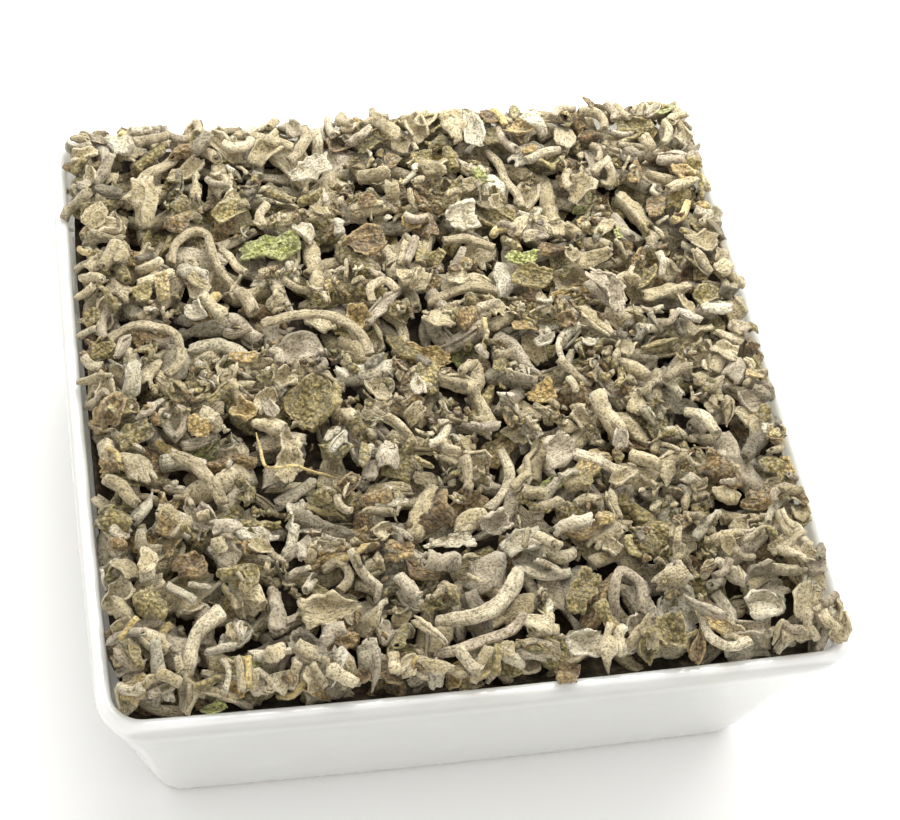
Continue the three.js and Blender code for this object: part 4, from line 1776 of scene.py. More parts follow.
# Those that lie among the loose pieces.
DEEP = tuple(Named(*row) for row in (
    ("roll_left", ROLL, "pale", ((-32.9, 7.5), (-29, 7.7), (-25.3, 5.6)), 3),
    ("roll_upright_back", ROLL, "felt", ((-14.6, 26), (-13.8, 20.6), (-14.5, 15.4)), 2.8),
    ("roll_back_right", ROLL, "felt", ((22.9, 35.6), (22.1, 30.6), (22.4, 25.7)), 2.8),
    ("roll_right_wall", ROLL, "felt", ((41.6, 24), (44, 25.5), (46, 26.2)), 3),
    ("roll_thick_back", ROLL, "felt", ((33.2, 29.9), (34.8, 27.2), (36.4, 24.3)), 4),
    ("roll_bone", ROLL, "mauve", ((10, 6.2), (12, 3.4), (12.8, 1.2), (14.9, -1.4)), 3),
    ("roll_centre", ROLL, "felt", ((6.4, 1.2), (5.5, -4), (6.4, -9.4)), 2.8),
    ("roll_golden", ROLL, "brown", ((-32, -11.7), (-28.8, -11.4), (-25.6, -11.9)), 2.6),
    ("tube_tan", ROLL, "felt", ((-11.6, -17.7), (-8.6, -17.5), (-5.5, -17.9)), 2.7),
    ("cocoon_large", ROLL, "felt", ((-7, -26), (-4.9, -22.3), (-2.9, -18.6)), 4.6),
    ("cocoon_small", ROLL, "felt", ((-1.2, -25.7), (0.7, -24.4), (3.2, -23.5)), 3.6),
    ("roll_dark", ROLL, "dark", ((-21.7, -21), (-17.8, -23.2), (-13.9, -25.7)), 3),
    ("tube_cream", ROLL, "pale", ((-23.9, -27.6), (-22.9, -25.3), (-22.2, -22.9)), 2.2),
    ("roll_greenish", ROLL, "olive", ((-29, -21.4), (-26.5, -21.9), (-24, -21.7)), 2.5),
    ("roll_slanting", ROLL, "felt", ((23.8, -8.8), (26, -11), (27.8, -13.6)), 3),
    ("roll_great", ROLL, "mauve", ((38.3, -13.6), (39.7, -18.7), (41.6, -23.8)), 3.8),
    ("roll_tan_green", ROLL, "olive", ((21.8, -22.6), (24.3, -25.9), (26.6, -29)), 3),
    ("roll_long_right", ROLL, "felt", ((35.4, -26.1), (39.8, -26.7), (44.2, -26.5)), 2.5),
    ("roll_curved_front", ROLL, "pale", ((31.6, -38.2), (32.9, -42), (32, -46)), 2.9),
    ("roll_broad", ROLL, "felt", ((-0.3, -31.6), (1.6, -33.8), (3.2, -36)), 4.4),
    ("roll_corner", ROLL, "mauve", ((-44.9, -39.4), (-44.3, -42.6), (-41.4, -44.6)), 3.7),
    ("roll_arched", ROLL, "dark", ((-30, -41), (-26.6, -39.2), (-24, -39.2), (-21.4, -41.3)), 2.8),
    ("roll_mauve_front", ROLL, "mauve", ((-26, -38.6), (-25.7, -35.3), (-25.9, -31.9)), 2.8),
    ("cup_left", CURL, "olive", ((-19, -6.6), (-17, -4.1), (-15.4, -1.4)), 6, 0.4),
    ("cup_round", CURL, "mauve", ((36.7, -38.6), (38.7, -37.2), (40.7, -36)), 5, 0.4),
    ("curl_right", CURL, "mauve", ((27.6, -4.4), (30.1, -2.9), (32.6, -1)), 3.6, 0.6),
    ("leaf_crumpled", CURL, "mauve", ((-20, 4.4), (-17.4, 6), (-14.6, 6.7)), 4.4, 0.5),
    ("flake_on_rim", FLAKE, "brown", ((9.9, -45.8), (9.6, -47.7), (9.4, -49.5)), 3, 0.1),
))

# Those that lie on the finished heap.
TOP = tuple(Named(*row) for row in (
    ("flake_green", FLAKE, "green", ((-24.2, 23.2), (-20, 23.7), (-15.6, 22.9)), 3.8, 0.12),
    ("flake_brown_back", FLAKE, "brown", ((-9, 21.4), (-6.3, 22.4), (-3.6, 23.6)), 4.6, 0.12),
    ("flake_ochre", FLAKE, "ochre", ((-10.9, 8.8), (-9.3, 9.6), (-7.8, 10.6)), 3.6, 0.08),
    ("flake_pale_back", FLAKE, "pale", ((-15.2, 35.6), (-12.4, 36.7), (-9.5, 37.4)), 3.8, 0.15),
    ("flake_gold_mid", FLAKE, "olive", ((13.6, 14.8), (16.6, 14.2), (19.6, 13.8)), 3.5, 0.12),
    ("flake_crescent", FLAKE, "ochre", ((-3.4, 5.4), (0, 4.2), (3.3, 2.7)), 2.6, 0.2),
    ("flake_front_green", FLAKE, "olive", ((12, -39.4), (13.7, -36.6), (15.6, -33.8)), 4, 0.12),
    ("flake_boat", CURL, "pale", ((9.8, -44.9), (12.6, -44.6), (15.4, -43.9)), 2.8, 0.45),
    ("leaf_tilted", CURL, "felt", ((-22.6, -17), (-21.7, -13.4), (-20.6, -9.8)), 2.8, 0.45),
    ("petiole_ring", STALK, "felt", (
        (-46.4, 2.9), (-45.8, 6.6), (-43.4, 9.6), (-40.1, 10.9), (-36.7, 10.2), (-34.4, 7.8),
        (-34.2, 5), (-36.4, 2.2)), 1.4, 0, 0.6),
    ("petiole_long_arc", STALK, "felt", (
        (-22.7, 8.8), (-18.4, 9.9), (-13.4, 8.8), (-9.9, 6.2), (-8.9, 2)), 1.4),
    ("petiole_loop", STALK, "felt", (
        (-34.1, 22), (-33, 24.9), (-30.6, 27), (-28.6, 26.6), (-28.2, 23.4), (-27.5, 20.6),
        (-25, 17.6)), 1.4, 0, 0.3),
    ("petiole_bent", STALK, "felt", ((-25.4, 15.8), (-24.2, 13.9), (-23.4, 11.6)), 2),
    ("petiole_back_left", STALK, "felt", (
        (-37.5, 33.5), (-36.5, 37.5), (-33.2, 39.7), (-31, 43), (-30.3, 46.2)), 1.6),
    ("petiole_back", STALK, "felt", ((-22.7, 45), (-18.6, 43.3), (-14.5, 40.6)), 1.6),
    ("stalk_back", STALK, "felt", ((14.8, 39.9), (16.6, 34.1), (18, 28.4)), 1.4),
    ("petiole_mid", STALK, "felt", ((5, 22.2), (8.8, 22.2), (12.3, 20.8)), 1.5),
    ("petiole_mid_low", STALK, "felt", ((1.2, 12.4), (6, 13.4), (11.2, 13.2)), 1.6),
    ("petiole_front", STALK, "pale", ((7.4, -13), (7.8, -16.6), (6.6, -19.9), (3.8, -22.4)), 1.5),
    ("petiole_curved_right", STALK, "pale", ((33.6, -10.4), (35.9, -11.9), (37, -14.8)), 1.7),
    ("petiole_hook_left", STALK, "felt", (
        (-45.8, -9.6), (-42.7, -8.4), (-40.6, -10.2), (-41, -13.7)), 1.3),
    ("petiole_curl_left", STALK, "felt", (
        (-37, -11), (-34.5, -13), (-32.4, -16.6), (-31, -19.4)), 1.8),
    ("arc_thick_front", STALK, "pale", (
        (-6.3, -39.6), (-0.6, -39.7), (4.2, -36.6), (5.8, -32.8)), 2.6),
    ("arc_lower_front", STALK, "mauve", ((-7.2, -44), (-2, -43.3), (3, -41.8), (5.2, -39.6)), 1.8),
    ("hairpin_front", STALK, "mauve", (
        (17.4, -41), (17.6, -37.4), (19.2, -34.6), (21.2, -36.4), (20.8, -40.4)), 1.5),
    ("hook_front_right", STALK, "pale", (
        (28.2, -41.6), (28.7, -44.8), (30.6, -47), (33.6, -46.6)), 1.4),
    ("stalk_flared", STALK, "pale", (
        (-38.8, -46.4), (-38.1, -43), (-36.6, -38.7), (-33.3, -35)), 1.9),
    ("stalk_forked_left", STALK, "pale", ((-46.2, -18.7), (-45.4, -22), (-44, -25.2)), 1.6),
    ("straw_long", STALK, "straw", (
        (-25.6, -8.7), (-25.4, -12.4), (-25, -15.6), (-20, -15.8), (-14.9, -15.3)), 0.9),
    ("stalk_tilted_back", STALK, "pale", (
        (-10.6, 40.6), (-10.7, 43.6), (-10.4, 46.4)), 1.8, 0, 1.2),
))

# Smaller ones that stand out too, and belong to the bed.
EXTRA = tuple(Named("", *row) for row in (
    (STALK, "felt", ((-26.6, 23.8), (-25.6, 21.6), (-23.8, 19.1)), 1.2),
    (FLAKE, "green", ((30.1, 21.2), (31.2, 21.6), (32.4, 21.8)), 1.8, 0.1),
    (FLAKE, "green", ((13.5, 18), (15.9, 18.1), (18.3, 18.6)), 2, 0.1),
    (STALK, "pale", ((-47, -18.9), (-45.6, -21.6), (-44.3, -24.6)), 1.3),
    (CURL, "pale", ((-46.4, -29.6), (-45.6, -27.6), (-44.8, -25.4)), 3, 0.4),
    (FLAKE, "green", ((-36.3, -46.7), (-35, -46.9), (-33.7, -46.4)), 2, 0.1),
    (STALK, "pale", (
        (-36, -42), (-33.4, -43.8), (-31, -45), (-28, -44.8), (-25, -44)), 1.3),
    (FLAKE, "brown", ((-38.2, -28.6), (-36.3, -28), (-34.4, -27.2)), 3.4, 0.15),
    (CURL, "mauve", ((44.3, -34), (45, -31.6), (45.6, -29.2)), 2, 0.5),
    (ROLL, "felt", ((42, -43), (44, -40.9), (46, -38.9)), 2.8),
    (CURL, "pale", ((34.6, -43), (36.6, -42.3), (38.7, -41.6)), 3.8, 0.3),
    (CURL, "olive", ((23.4, -46.6), (23.9, -44.4), (24.4, -42.2)), 4, 0.35),
    (ROLL, "felt", ((-37.6, 28), (-37.2, 31.4), (-36.8, 34.8)), 4.2),
    (ROLL, "felt", ((32.5, 10.4), (35.9, 10.9), (39.3, 11.4)), 2.5),
    (CURL, "mauve", ((24.4, 13.1), (26.8, 10.8), (27.6, 8.4), (27.3, 6.3)), 2.2, 0.5),
    (FLAKE, "ochre", ((12.4, -5.9), (14.1, -5.5), (15.9, -5.2)), 2.5, 0.1),
    (CURL, "pale", ((5.9, 25.7), (8.4, 26.1), (10.9, 26.5)), 3.4, 0.45),
    (STALK, "felt", ((-7, 10.6), (-6.9, 13.4), (-4.9, 14.4), (-3.4, 12.6)), 1.3),
    (ROLL, "pale", ((11.2, -27.9), (13.7, -27.6), (16.2, -27.2)), 2.2),
    (CURL, "mauve", ((11.6, -16.6), (14.2, -15.9), (16.6, -15)), 4.2, 0.3),
    (STALK, "pale", ((15.9, -17.6), (19.1, -18.6), (22.3, -19.6)), 1.4),
    (CURL, "mauve", ((2.6, -27), (4.1, -25.9), (5.7, -25.1)), 2.6, 0.6),
    (CURL, "pale", ((-6.2, -28.4), (-2.7, -27.9), (0.8, -27.6)), 2, 0.2),
    (CURL, "felt", ((-23.6, -37.4), (-19.9, -36.9), (-16.2, -36.4)), 4, 0.35),
    (STALK, "felt", ((-19.5, -30), (-17.3, -29.6), (-16.2, -31.6), (-17.6, -33.4)), 1.3),
    (FLAKE, "brown", ((-20.6, -41.7), (-18.5, -41.5), (-16.4, -41)), 2.6, 0.12),
    (FLAKE, "olive", ((-12.8, -43.2), (-10.6, -43), (-8.4, -42.5)), 2.8, 0.12),
))


@dataclass
class Hero:
    """Lays and models the named pieces, each by itself."""

    clear: float = 0.5
    flake_half: float = 0.7
    straw_width: float = 0.55  # of its solid's
    arc_width: float = 0.86

    # Faces round or across a piece, and along it for each width of its length.
    LEAF = (32, 18)
    ROLLED = (38, 8)
    ROD = (14, 5)
    STRAW = (8, 3)

    def lay(self, heap: Heap, piece: Named, deep: bool) -> Line:
        """Lays the piece on the heap.

        Args:
            heap: what it lies on.
            piece: the piece.
            deep: whether loose pieces come after it.

        Returns:
            Its middle line.
        """
        stalk = piece.kind is STALK
        plan = SmoothPath(piece.path).spaced(2 * len(piece.path) if stalk else 3)
        half = self.flake_half if piece.kind is FLAKE else piece.width / 2
        if stalk:
            line = heap.lay_stalk(plan, half, self.clear, piece.lift)
        else:
            line = heap.lay(plan, half, 0.0 if deep and piece.kind is not FLAKE else -self.clear)
        heap.land(line, piece.width / 2 if piece.kind in (FLAKE, CURL) else half, deep)
        return line

    def slim(self, piece: Named) -> float:
        """How much of its solid's width a piece has.

        Args:
            piece: the piece.

        Returns:
            The share of the width.
        """
        if piece.slot == "straw":
            return self.straw_width
        return self.arc_width if piece.name.startswith("arc") else 1.0

    def model(self, piece: Named, length: float, draws: Draws) -> Shape:
        """Models the piece, one width across.

        Args:
            piece: the piece.
            length: its length.
            draws: what makes it differ from the next.

        Returns:
            The shape.
        """
        ratio = length / piece.width
        if piece.kind is STALK:
            bit = self.stalk(piece, ratio, draws)
        elif piece.kind is ROLL:
            bit = self.roll(piece, ratio, draws)
        else:
            bit = self.leaf(piece, ratio)
        return bit.model(ratio, draws)

    def leaf(self, piece: Named, ratio: float) -> CurledBit:
        """A curled leaf bit, or a nearly flat one.

        Args:
            piece: the piece.
            ratio: length over width.

        Returns:
            The bit to model.
        """
        across, along = self.LEAF
        bit = CurledBit(turns=piece.wrap, cupped=0.3, across=across, along=int(along * ratio))
        if piece.kind is CURL:
            return bit
        return replace(bit, thick=0.13, taper=0.3, ragged=0.13, cupped=0.08, crumple=0.09)

    def stalk(self, piece: Named, ratio: float, draws: Draws) -> StalkBit:
        """A stalk: plain, flared at one end, a tapered arc or a thin straw.

        Args:
            piece: the piece.
            ratio: length over width.
            draws: what makes it differ.

        Returns:
            The bit to model.
        """
        flare = 0.5 if piece.name == "stalk_flared" else draws.between(0, 0.2)
        straw = piece.slot == "straw"
        sides, along = self.STRAW if straw else self.ROD
        bit = StalkBit(sides=sides, cuts=int(along * ratio), flare=flare)
        if straw:
            return replace(bit, taper=0.8, sway=0.05)
        return replace(bit, taper=0.45) if piece.name.startswith("arc") else bit

    def roll(self, piece: Named, ratio: float, draws: Draws) -> RolledBit:
        """A roll, or a plump one with narrow ends.

        Args:
            piece: the piece.
            ratio: length over width.
            draws: what makes it differ.

        Returns:
            The bit to model.
        """
        cocoon = piece.name.startswith("cocoon") or piece.name == "roll_broad"
        turns = 1.2 if cocoon else draws.between(1.3, 1.9)
        waist = 0.5 if cocoon else draws.between(0.12, 0.3)
        across, along = self.ROLLED
        return RolledBit(turns=turns, waist=waist, across=across, along=int(along * ratio))


# ------------------------------------------------------------------------------------- the herb bed
LOOSE = (
    LooseKind(ROLL, 0.45, 5.4, 2.4, 0.7, 0.5),
    LooseKind(STALK, 0.17, 6.4, 1.4, 1.4, 0.5),
    LooseKind(CURL, 0.23, 5.0, 3.2, 0.7, 0.38),
    LooseKind(FLAKE, 0.15, 5.0, 3.2, 0.7, 0.25),
)
MEDIUM = (
    LooseKind(ROLL, 0.35, 3.8, 1.9, 0.6, 0.5),
    LooseKind(STALK, 0.19, 4.4, 1.1, 1.0, 0.5, 2.4),
    LooseKind(CURL, 0.28, 3.6, 2.3, 0.6, 0.38),
    LooseKind(FLAKE, 0.14, 3.6, 2.3, 0.5, 0.25),
    LooseKind(NUB, 0.04, 2.6, 2.0, 0.2, 0.5),
)
SMALL = (
    LooseKind(ROLL, 0.30, 2.4, 1.3, 0.6, 0.5),
    LooseKind(STALK, 0.22, 2.8, 0.8, 1.0, 0.5, 2.0),
    LooseKind(CURL, 0.28, 2.3, 1.6, 0.6, 0.38),
    LooseKind(FLAKE, 0.16, 2.3, 1.6, 0.5, 0.22),
    LooseKind(NUB, 0.04, 1.8, 1.3, 0.2, 0.5),
)
CRUMBS = (LooseKind(NUB, 1.0, 1.0, 0.5, 0.2, 0.3),)


def weighted(**weights: int) -> list[str]:
    """Each name as many times as its weight."""
    return [name for name, weight in weights.items() for _ in range(weight)]


# The colours of each kind of loose piece.
PALETTES = {
    ROLL: weighted(felt=10, mauve=4, pale=3, olive=3, dark=1, brown=1),
    STALK: weighted(felt=6, pale=3, mauve=2, straw=1),
    CURL: weighted(felt=9, olive=3, mauve=3, brown=2, pale=2, ochre=1),
    FLAKE: weighted(olive=5, brown=4, felt=7, ochre=2, green=1),
    NUB: weighted(felt=7, olive=6, brown=3, pale=1, dark=1),
}


class Library:
    """Modelled variants of each kind of bit at one fineness."""

    def __init__(self, across: int, along: int, variants: int, seed: Seed) -> None:
        """Models the variants.

        Args:
            across: faces round or across a leaf bit.
            along: faces along it.
            variants: how many of each kind.
            seed: what the random shapes start from.
        """
        self.grid = {"across": across, "along": along}
        self.draws = Draws(seed)
        self.shapes: dict[Kind, list[Shape]] = {kind: [] for kind in Kind}
        some = self.draws.between
        for _ in range(variants):
            self.shapes[ROLL].append(self.roll())
            self.shapes[CURL].append(self.curl())
            self.shapes[FLAKE].append(self.flake())
            stalk = StalkBit(sides=max(7, across // 2), cuts=along, flare=some(0, 0.35))
            self.shapes[STALK].append(stalk.model(some(3.5, 5.5), self.draws))
            self.shapes[NUB].append(NubBit().model(some(1.1, 1.7), self.draws))

    def roll(self) -> Shape:
        """A rolled bit, or a plumper one with narrow ends.

        Returns:
            The shape.
        """
        some = self.draws.between
        cocoon = self.draws() < 0.3
        bit = RolledBit(
            turns=some(1.05, 1.3) if cocoon else some(1.15, 2.0),
            inner=0.2 if cocoon else 0.16,
            waist=some(0.45, 0.65) if cocoon else some(0.0, 0.3),
            ragged=some(0.05, 0.12),
            flat=some(0.65, 1.0),
            pleats=some(0.1, 0.36),
            crumple=some(0.07, 0.15),
            **self.grid,
        )
        return bit.model(some(1.8, 3.2), self.draws)

    def curl(self) -> Shape:
        """A leaf bit bent into a gutter or cup.

        Returns:
            The shape.
        """
        some = self.draws.between
        bit = CurledBit(
            turns=some(0.3, 0.7),
            taper=some(0.2, 0.6),
            cupped=some(-0.1, 0.4),
            folded=some(0.06, 0.18),
            crumple=some(0.1, 0.18),
            **self.grid,
        )
        return bit.model(some(1.3, 2.2), self.draws)

    def flake(self) -> Shape:
        """A nearly flat leaf bit.

        Returns:
            The shape.
        """
        some = self.draws.between
        bit = CurledBit(
            turns=some(0.05, 0.16),
            thick=0.12,
            taper=some(0.1, 0.5),
            cupped=some(-0.1, 0.15),
            folded=some(0.03, 0.1),
            crumple=some(0.06, 0.12),
            **self.grid,
        )
        return bit.model(some(1.2, 2.0), self.draws)


@dataclass
class Core:
    """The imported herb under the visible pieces."""

    fill: Fill
    depth: float  # how far its top lies under the levelled herb
    cells: int = 120
    bottom: float = 24.0
    beyond: float = 0.3  # how far its top reaches past the herb's usual edge
    short: float = 2.2  # how far its underside stays short of it
    pinch: float = 0.035  # how far its corners are pulled in
    settled: float = 0.3
    wall_rise: float = 3.6  # how much higher it is at the walls
    wall_power: int = 24  # how close to the walls it rises

    def build(self) -> bpy.types.Object:
        """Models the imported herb: a grid with its border drawn down and closed.

        Returns:
            The object.
        """
        core, _, _ = add_sheet(self.cells, self.cells, 2)
        core.name = "sage_packed"
        with editing():
            bpy.ops.mesh.select_mode(type="EDGE")
            bpy.ops.mesh.select_all(action="SELECT")
            bpy.ops.mesh.region_to_loop()
            bpy.ops.mesh.extrude_edges_move(TRANSFORM_OT_translate={"value": (0, 0, -1)})
            bpy.ops.mesh.edge_face_add()
        fill = self.fill
        points = points_of(core)
        upper = points[:, 2] > -0.5
        half = np.where(upper, fill.half + self.beyond, fill.half - self.short)
        half = half * (1 - self.pinch * (points[:, 0] * points[:, 1]) ** 4)
        points[:, 0] *= half
        points[:, 1] *= half
        across = 1 - (points[:, 0] / fill.rim_inside) ** 4
        along = 1 - (points[:, 1] / fill.rim_inside) ** 4
        level = fill.at_wall + fill.crown * across * along - self.depth
        near_wall = np.max(np.abs(points[:, :2]), axis=1) / (fill.half + self.beyond)
        level += self.wall_rise * near_wall ** self.wall_power
        draws = Draws(Seed.CORE)
        rough = 0.45 * wobble(points, 3.2, draws, 9) + 0.35 * wobble(points, 1.7, draws, 9)
        points[:, 2] = np.where(upper, level - self.settled + rough, self.bottom)
        set_points(core, points * MM)
        face_outwards(core)
        core.data.shade_smooth()
        core.data.materials.append(CoreFinish().make())
        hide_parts("sage_bed")
        return core


@dataclass
class HerbBed:
    """Everything that lies in the dish."""

    fill: Fill
    pieces: int = 166
    under_pieces: int = 520
    edge_pieces: int = 180
    row_pieces: int = 300
    medium_pieces: int = 235
    small_pieces: int = 300
    crumbs: int = 900
    crumb_variants: int = 16
    under_depth: float = 2.6  # how much lower the layer under the loose pieces starts
    named_dust: float = 0.3  # how dusty the pieces that stand out are
    green_lift: float = 0.7  # how much higher the small green flakes lie
    round_named: float = 0.8  # how far the gap pieces keep from the named ones on top
    rocked: float = 0.9  # how far leaf bits are rocked about their lines, in radians
    face_down: float = 0.4  # how many of them lie face down
    batch_points: int = 66000  # a full batch takes no more pieces

    def __post_init__(self) -> None:
        """Makes the heap, the wardrobe and the empty batches."""
        self.heap = Heap(self.fill)
        self.wardrobe = Wardrobe()
        self.batches: dict[str, tuple[Batch, HerbFinish]] = {}
        self.looks = Draws(Seed.LOOKS)

    def build(self) -> list[bpy.types.Object]:
        """Builds and dresses all pieces.

        Returns:
            The pieces.
        """
        hero = Hero()
        lines = {piece.name: hero.lay(self.heap, piece, True) for piece in DEEP}
        loose = Dropper(self.heap, Draws(Seed.LOOSE), LOOSE)
        landed = [loose.drop() for _ in range(self.pieces)]
        lines |= {piece.name: hero.lay(self.heap, piece, False) for piece in TOP}
        LOG.info("laid %d named and %d loose pieces", len(lines), len(landed))
        made = [self.build_named(hero, piece, lines[piece.name]) for piece in (*DEEP, *TOP)]
        coarse = Library(across=10, along=6, variants=14, seed=Seed.COARSE_BITS)
        middling = Library(across=14, along=8, variants=12, seed=Seed.MIDDLING_BITS)
        fine = Library(across=18, along=11, variants=10, seed=Seed.FINE_BITS)
        self.scatter(landed, fine)
        self.scatter(self.under_layer(), coarse)
        for piece in TOP:
            self.heap.land(lines[piece.name], piece.width / 2, True)
            self.heap.keep_clear(lines[piece.name], piece.width / 2 + self.round_named)
        self.add_extras(hero)
        self.fill_gaps(middling, coarse)
        self.scatter_crumbs()
        made.append(Core(self.fill, self.fill.depth + self.under_depth).build())
        for batch, finish in self.batches.values():
            piece = batch.build()
            self.wardrobe.dress(piece, finish)
            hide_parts("sage_bed")
            made.append(piece)
        return made

    def dropper(self, seed: Seed, kinds: tuple[LooseKind, ...], **sizes: float) -> Dropper:
        """A dropper for the pieces that fill the gaps, right up to the walls."""
        usual = {"sink": 0.35, "steepest": 0.9, "margin": 0.9, "taken_cost": 6.0, "over_cost": 3.0}
        return Dropper(self.heap, Draws(seed), kinds, **(usual | sizes))

    def under_layer(self) -> list[Landed]:
        """Lays the pieces that show through the gaps of the loose ones, under them.

        Returns:
            The pieces.
        """
        under = Heap(replace(self.fill, depth=self.fill.depth + self.under_depth))
        dropper = Dropper(
            under, Draws(Seed.UNDER), LOOSE, more_length=2.4, more_width=0.9, steepest=0.8,
            margin=0.9, beyond=0.6)
        landed = [dropper.drop() for _ in range(self.under_pieces)]
        self.heap.z = [max(pair) for pair in zip(self.heap.z, under.z)]
        return landed

    def fill_gaps(self, middling: Library, coarse: Library) -> None:
        """Lays pieces in the gaps, from medium to small, with a band and a row along the walls.

        Args:
            middling: the shapes of the medium ones.
            coarse: the shapes of the small ones.
        """
        medium = self.dropper(Seed.MEDIUM, MEDIUM, more_length=2.8, more_width=0.9)
        band = self.dropper(
            Seed.EDGE, MEDIUM, more_length=2.6, more_width=0.9, sink=0.3, band=5.0)
        row = self.dropper(
            Seed.ROW, SMALL, more_length=2.2, more_width=0.9, sink=0.9, band=2.2, margin=0.5,
            beyond=0.1, over_cost=5.0)
        small = self.dropper(Seed.SMALL, SMALL, more_length=2.0, more_width=0.7)
        for count, dropper, library in (
            (self.medium_pieces, medium, middling),
            (self.edge_pieces, band, middling),
            (self.row_pieces, row, coarse),
            (self.small_pieces, small, coarse),
        ):
            self.scatter([dropper.drop() for _ in range(count)], library)

    def build_named(self, hero: Hero, piece: Named, line: Line) -> bpy.types.Object:
        """Models, places and dresses one named piece, and lets it replace its solid.

        Args:
            hero: what models it.
            piece: the piece.
            line: its middle line.

        Returns:
            The object.
        """
        draws = Draws(sum(ord(letter) * (k + 7) for k, letter in enumerate(piece.name)))
        shape = hero.model(piece, Spine(line).length, draws)
        batch = Batch(f"sage_{piece.name}")
        roll = draws.between(-0.3, 0.3)
        if piece.kind is ROLL:
            roll = draws.between(0, 2 * math.pi)
        look = Look(draws.between(0.35, 0.65), draws.between(0.35, 0.6), self.named_dust)
        batch.add(shape, line, piece.width * hero.slim(piece), roll, look)
        made = batch.build()
        self.wardrobe.dress(made, self.wardrobe.finish(piece.slot, piece.kind))
        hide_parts(piece.name)
        return made

    def add_extras(self, hero: Hero) -> None:
        """Lays the smaller pieces that stand out, as part of the bed.

        Args:
            hero: what lays and models them.
        """
        draws = Draws(Seed.EXTRAS)
        for piece in EXTRA:
            line = hero.lay(self.heap, piece, True)
            if piece.slot == "green":
                line = [(x, y, z + self.green_lift) for x, y, z in line]
            self.heap.keep_clear(line, piece.width / 2)
            shape = hero.model(piece, Spine(line).length, draws)
            look = Look(draws.between(0.3, 0.7), draws.between(0.4, 0.7), self.named_dust)
            batch = self.batch(self.wardrobe.finish(piece.slot, piece.kind))
            batch.add(shape, line, piece.width, draws.between(-0.4, 0.4), look)

    def scatter(self, landed: list[Landed], library: Library) -> None:
        """Adds landed pieces to the batches of their colours.

        Args:
            landed: the pieces.
            library: the shapes that they take.
        """
        draws = self.looks
        for bit in landed:
            finish = self.wardrobe.finish(draws.pick(PALETTES[bit.kind]), bit.kind)
            shape = draws.pick(library.shapes[bit.kind])
            if bit.kind in (CURL, FLAKE):
                over = math.pi if draws() < self.face_down else 0.0
                roll = (bit.turn - 0.5) * self.rocked + over
            else:
                roll = 2 * math.pi * draws()
            line = bit.line if draws() < 0.5 else bit.line[::-1]
            self.batch(finish).add(shape, line, bit.width, roll, Look.drawn(draws))

    def batch(self, finish: HerbFinish) -> Batch:
        """The batch of a finish that still has room.

        Args:
            finish: the finish.

        Returns:
            The batch.
        """
        number = 1
        while True:
            name = f"sage_bed_{finish.name}_{number}"
            batch, _ = self.batches.setdefault(name, (Batch(name), finish))
            if batch.count < self.batch_points:
                return batch
            number += 1

    def scatter_crumbs(self) -> None:
        """Fills the gaps with crumbs."""
        draws = Draws(Seed.CRUMB_SHAPES)
        shapes = [
            CrumbBit().model(draws.between(1.2, 2.4), draws) for _ in range(self.crumb_variants)]
        dropper = self.dropper(Seed.CRUMBS, CRUMBS, more_length=1.4, more_width=0.8)
        for _ in range(self.crumbs):
            bit = dropper.drop()
            batch = self.batch(self.wardrobe.finish(draws.pick(PALETTES[NUB]), NUB))
            look = Look.drawn(draws)
            shape = draws.pick(shapes)
            batch.add(shape, bit.line, bit.width, 2 * math.pi * draws(), look)


# ------------------------------------------------------------------------------------------- studio
@dataclass(frozen=True)
class Lamp:
    """A soft square light."""

    name: str
    place: Point
    aim: Point
    size: float
    power: float  # in watts
    colour: Colour

    def build(self) -> None:
        """Adds the light."""
        data = bpy.data.lights.new(self.name, "AREA")
        data.size = self.size * MM
        data.energy = self.power
        data.color = self.colour
        light = new_object(self.name, data)
        light.location = Vector(self.place) * MM
        ahead = Vector(self.aim) * MM - light.location
        light.rotation_euler = ahead.to_track_quat("-Z", "Y").to_euler()


LAMPS = (
    Lamp("key", (250, 190, 290), (0, 0, 30), 300, 0.65, (1.0, 0.99, 0.97)),
    Lamp("near", (30, 120, 185), (15, 70, 30), 180, 0.6, (1.0, 1.0, 0.98)),
)


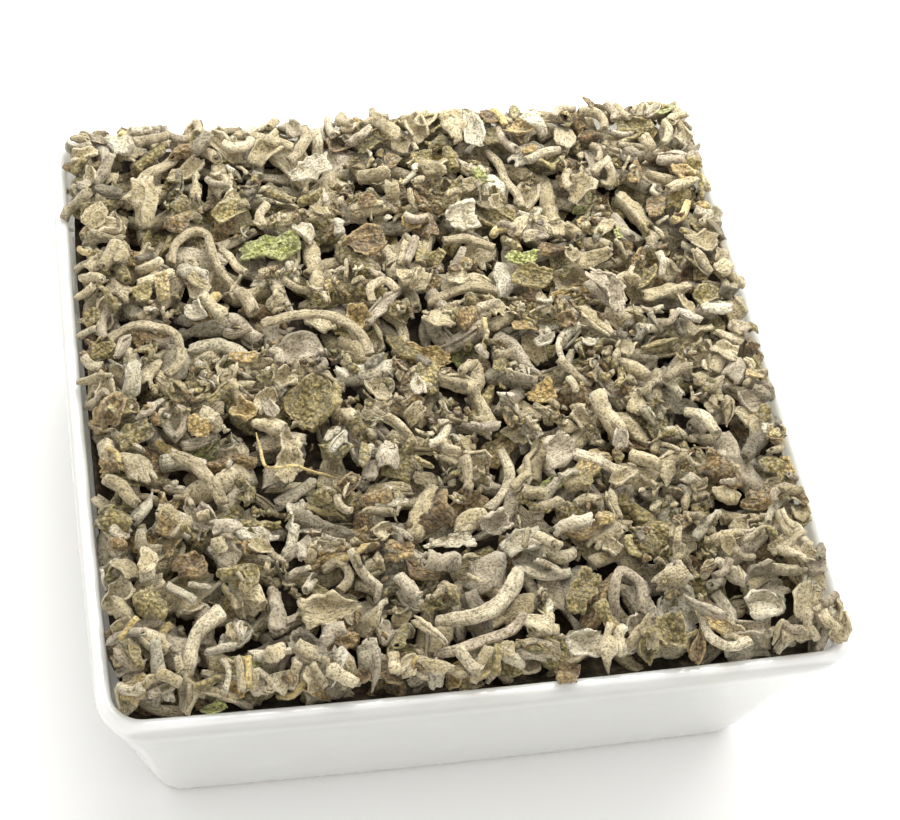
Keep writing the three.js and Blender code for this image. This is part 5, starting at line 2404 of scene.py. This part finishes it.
@dataclass
class Studio:
    """A white table, soft light and the camera."""

    azimuth: float = -18.2  # degrees: where the camera looks, from straight along +Y
    elevation: float = 54.1
    roll: float = 10.55
    lens: float = 84.8
    nearest: float = 10.0  # what the camera sees starts here
    camera_at: Point = (-51.7, -167.6, 270.7)
    table: float = 4000.0
    world: Colour = (1.0, 0.995, 0.98)
    world_strength: float = 1.05

    def build(self) -> None:
        """Sets up everything round the object."""
        self.add_camera()
        self.add_table()
        for lamp in LAMPS:
            lamp.build()
        world = bpy.data.worlds.new("white_room")
        world.use_nodes = True
        background = world.node_tree.nodes["Background"]
        background.inputs["Color"].default_value = (*self.world, 1.0)
        background.inputs["Strength"].default_value = self.world_strength
        bpy.context.scene.world = world
        bpy.context.scene.view_settings.view_transform = "Standard"

    def add_camera(self) -> None:
        """Places the camera."""
        angles = (self.azimuth, self.elevation, self.roll)
        around, down, roll = (math.radians(angle) for angle in angles)
        flat = math.cos(down)
        ahead = Vector((-math.sin(around) * flat, math.cos(around) * flat, -math.sin(down)))
        right = Vector((math.cos(around), math.sin(around), 0))
        up = right.cross(ahead)
        x = math.cos(roll) * right + math.sin(roll) * up
        y = -math.sin(roll) * right + math.cos(roll) * up
        data = bpy.data.cameras.new("camera")
        data.lens = self.lens
        data.clip_start = self.nearest * MM
        camera = new_object("camera", data)
        turn = Matrix((x, y, -ahead)).transposed().to_4x4()
        camera.matrix_world = Matrix.Translation(Vector(self.camera_at) * MM) @ turn
        bpy.context.scene.camera = camera

    def add_table(self) -> None:
        """Adds the table top."""
        deselect()
        bpy.ops.mesh.primitive_plane_add(size=self.table * MM)
        table = bpy.context.object
        table.name = "table"
        table.data.materials.append(TableFinish().make())
        table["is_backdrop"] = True


def triangles(piece: bpy.types.Object) -> int:
    """How many triangles a piece has.

    Args:
        piece: a mesh object.

    Returns:
        Their number.
    """
    sizes = np.empty(len(piece.data.polygons), dtype=np.int32)
    piece.data.polygons.foreach_get("loop_total", sizes)
    return int((sizes - 2).sum())


def main() -> None:
    """Builds the dish, the herb and the studio, and reports each piece."""
    logging.basicConfig(level=logging.INFO, format="%(message)s")
    cad_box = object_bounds()
    Studio().build()
    pieces = [Dish().build(), *HerbBed(Fill()).build()]
    total = 0
    for piece in pieces:
        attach(piece, BODY)
        count = triangles(piece)
        total += count
        top = points_of(piece)[:, 2].max() / MM
        LOG.info("%s: %d triangles, %.2f mm high", piece.name, count, top)
    LOG.info("%d pieces, %d triangles", len(pieces), total)
    boxes = {"cad": cad_box, "visual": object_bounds()}
    plain = {name: [[float(c) for c in corner] for corner in box] for name, box in boxes.items()}


if __name__ == "__main__":
    main()
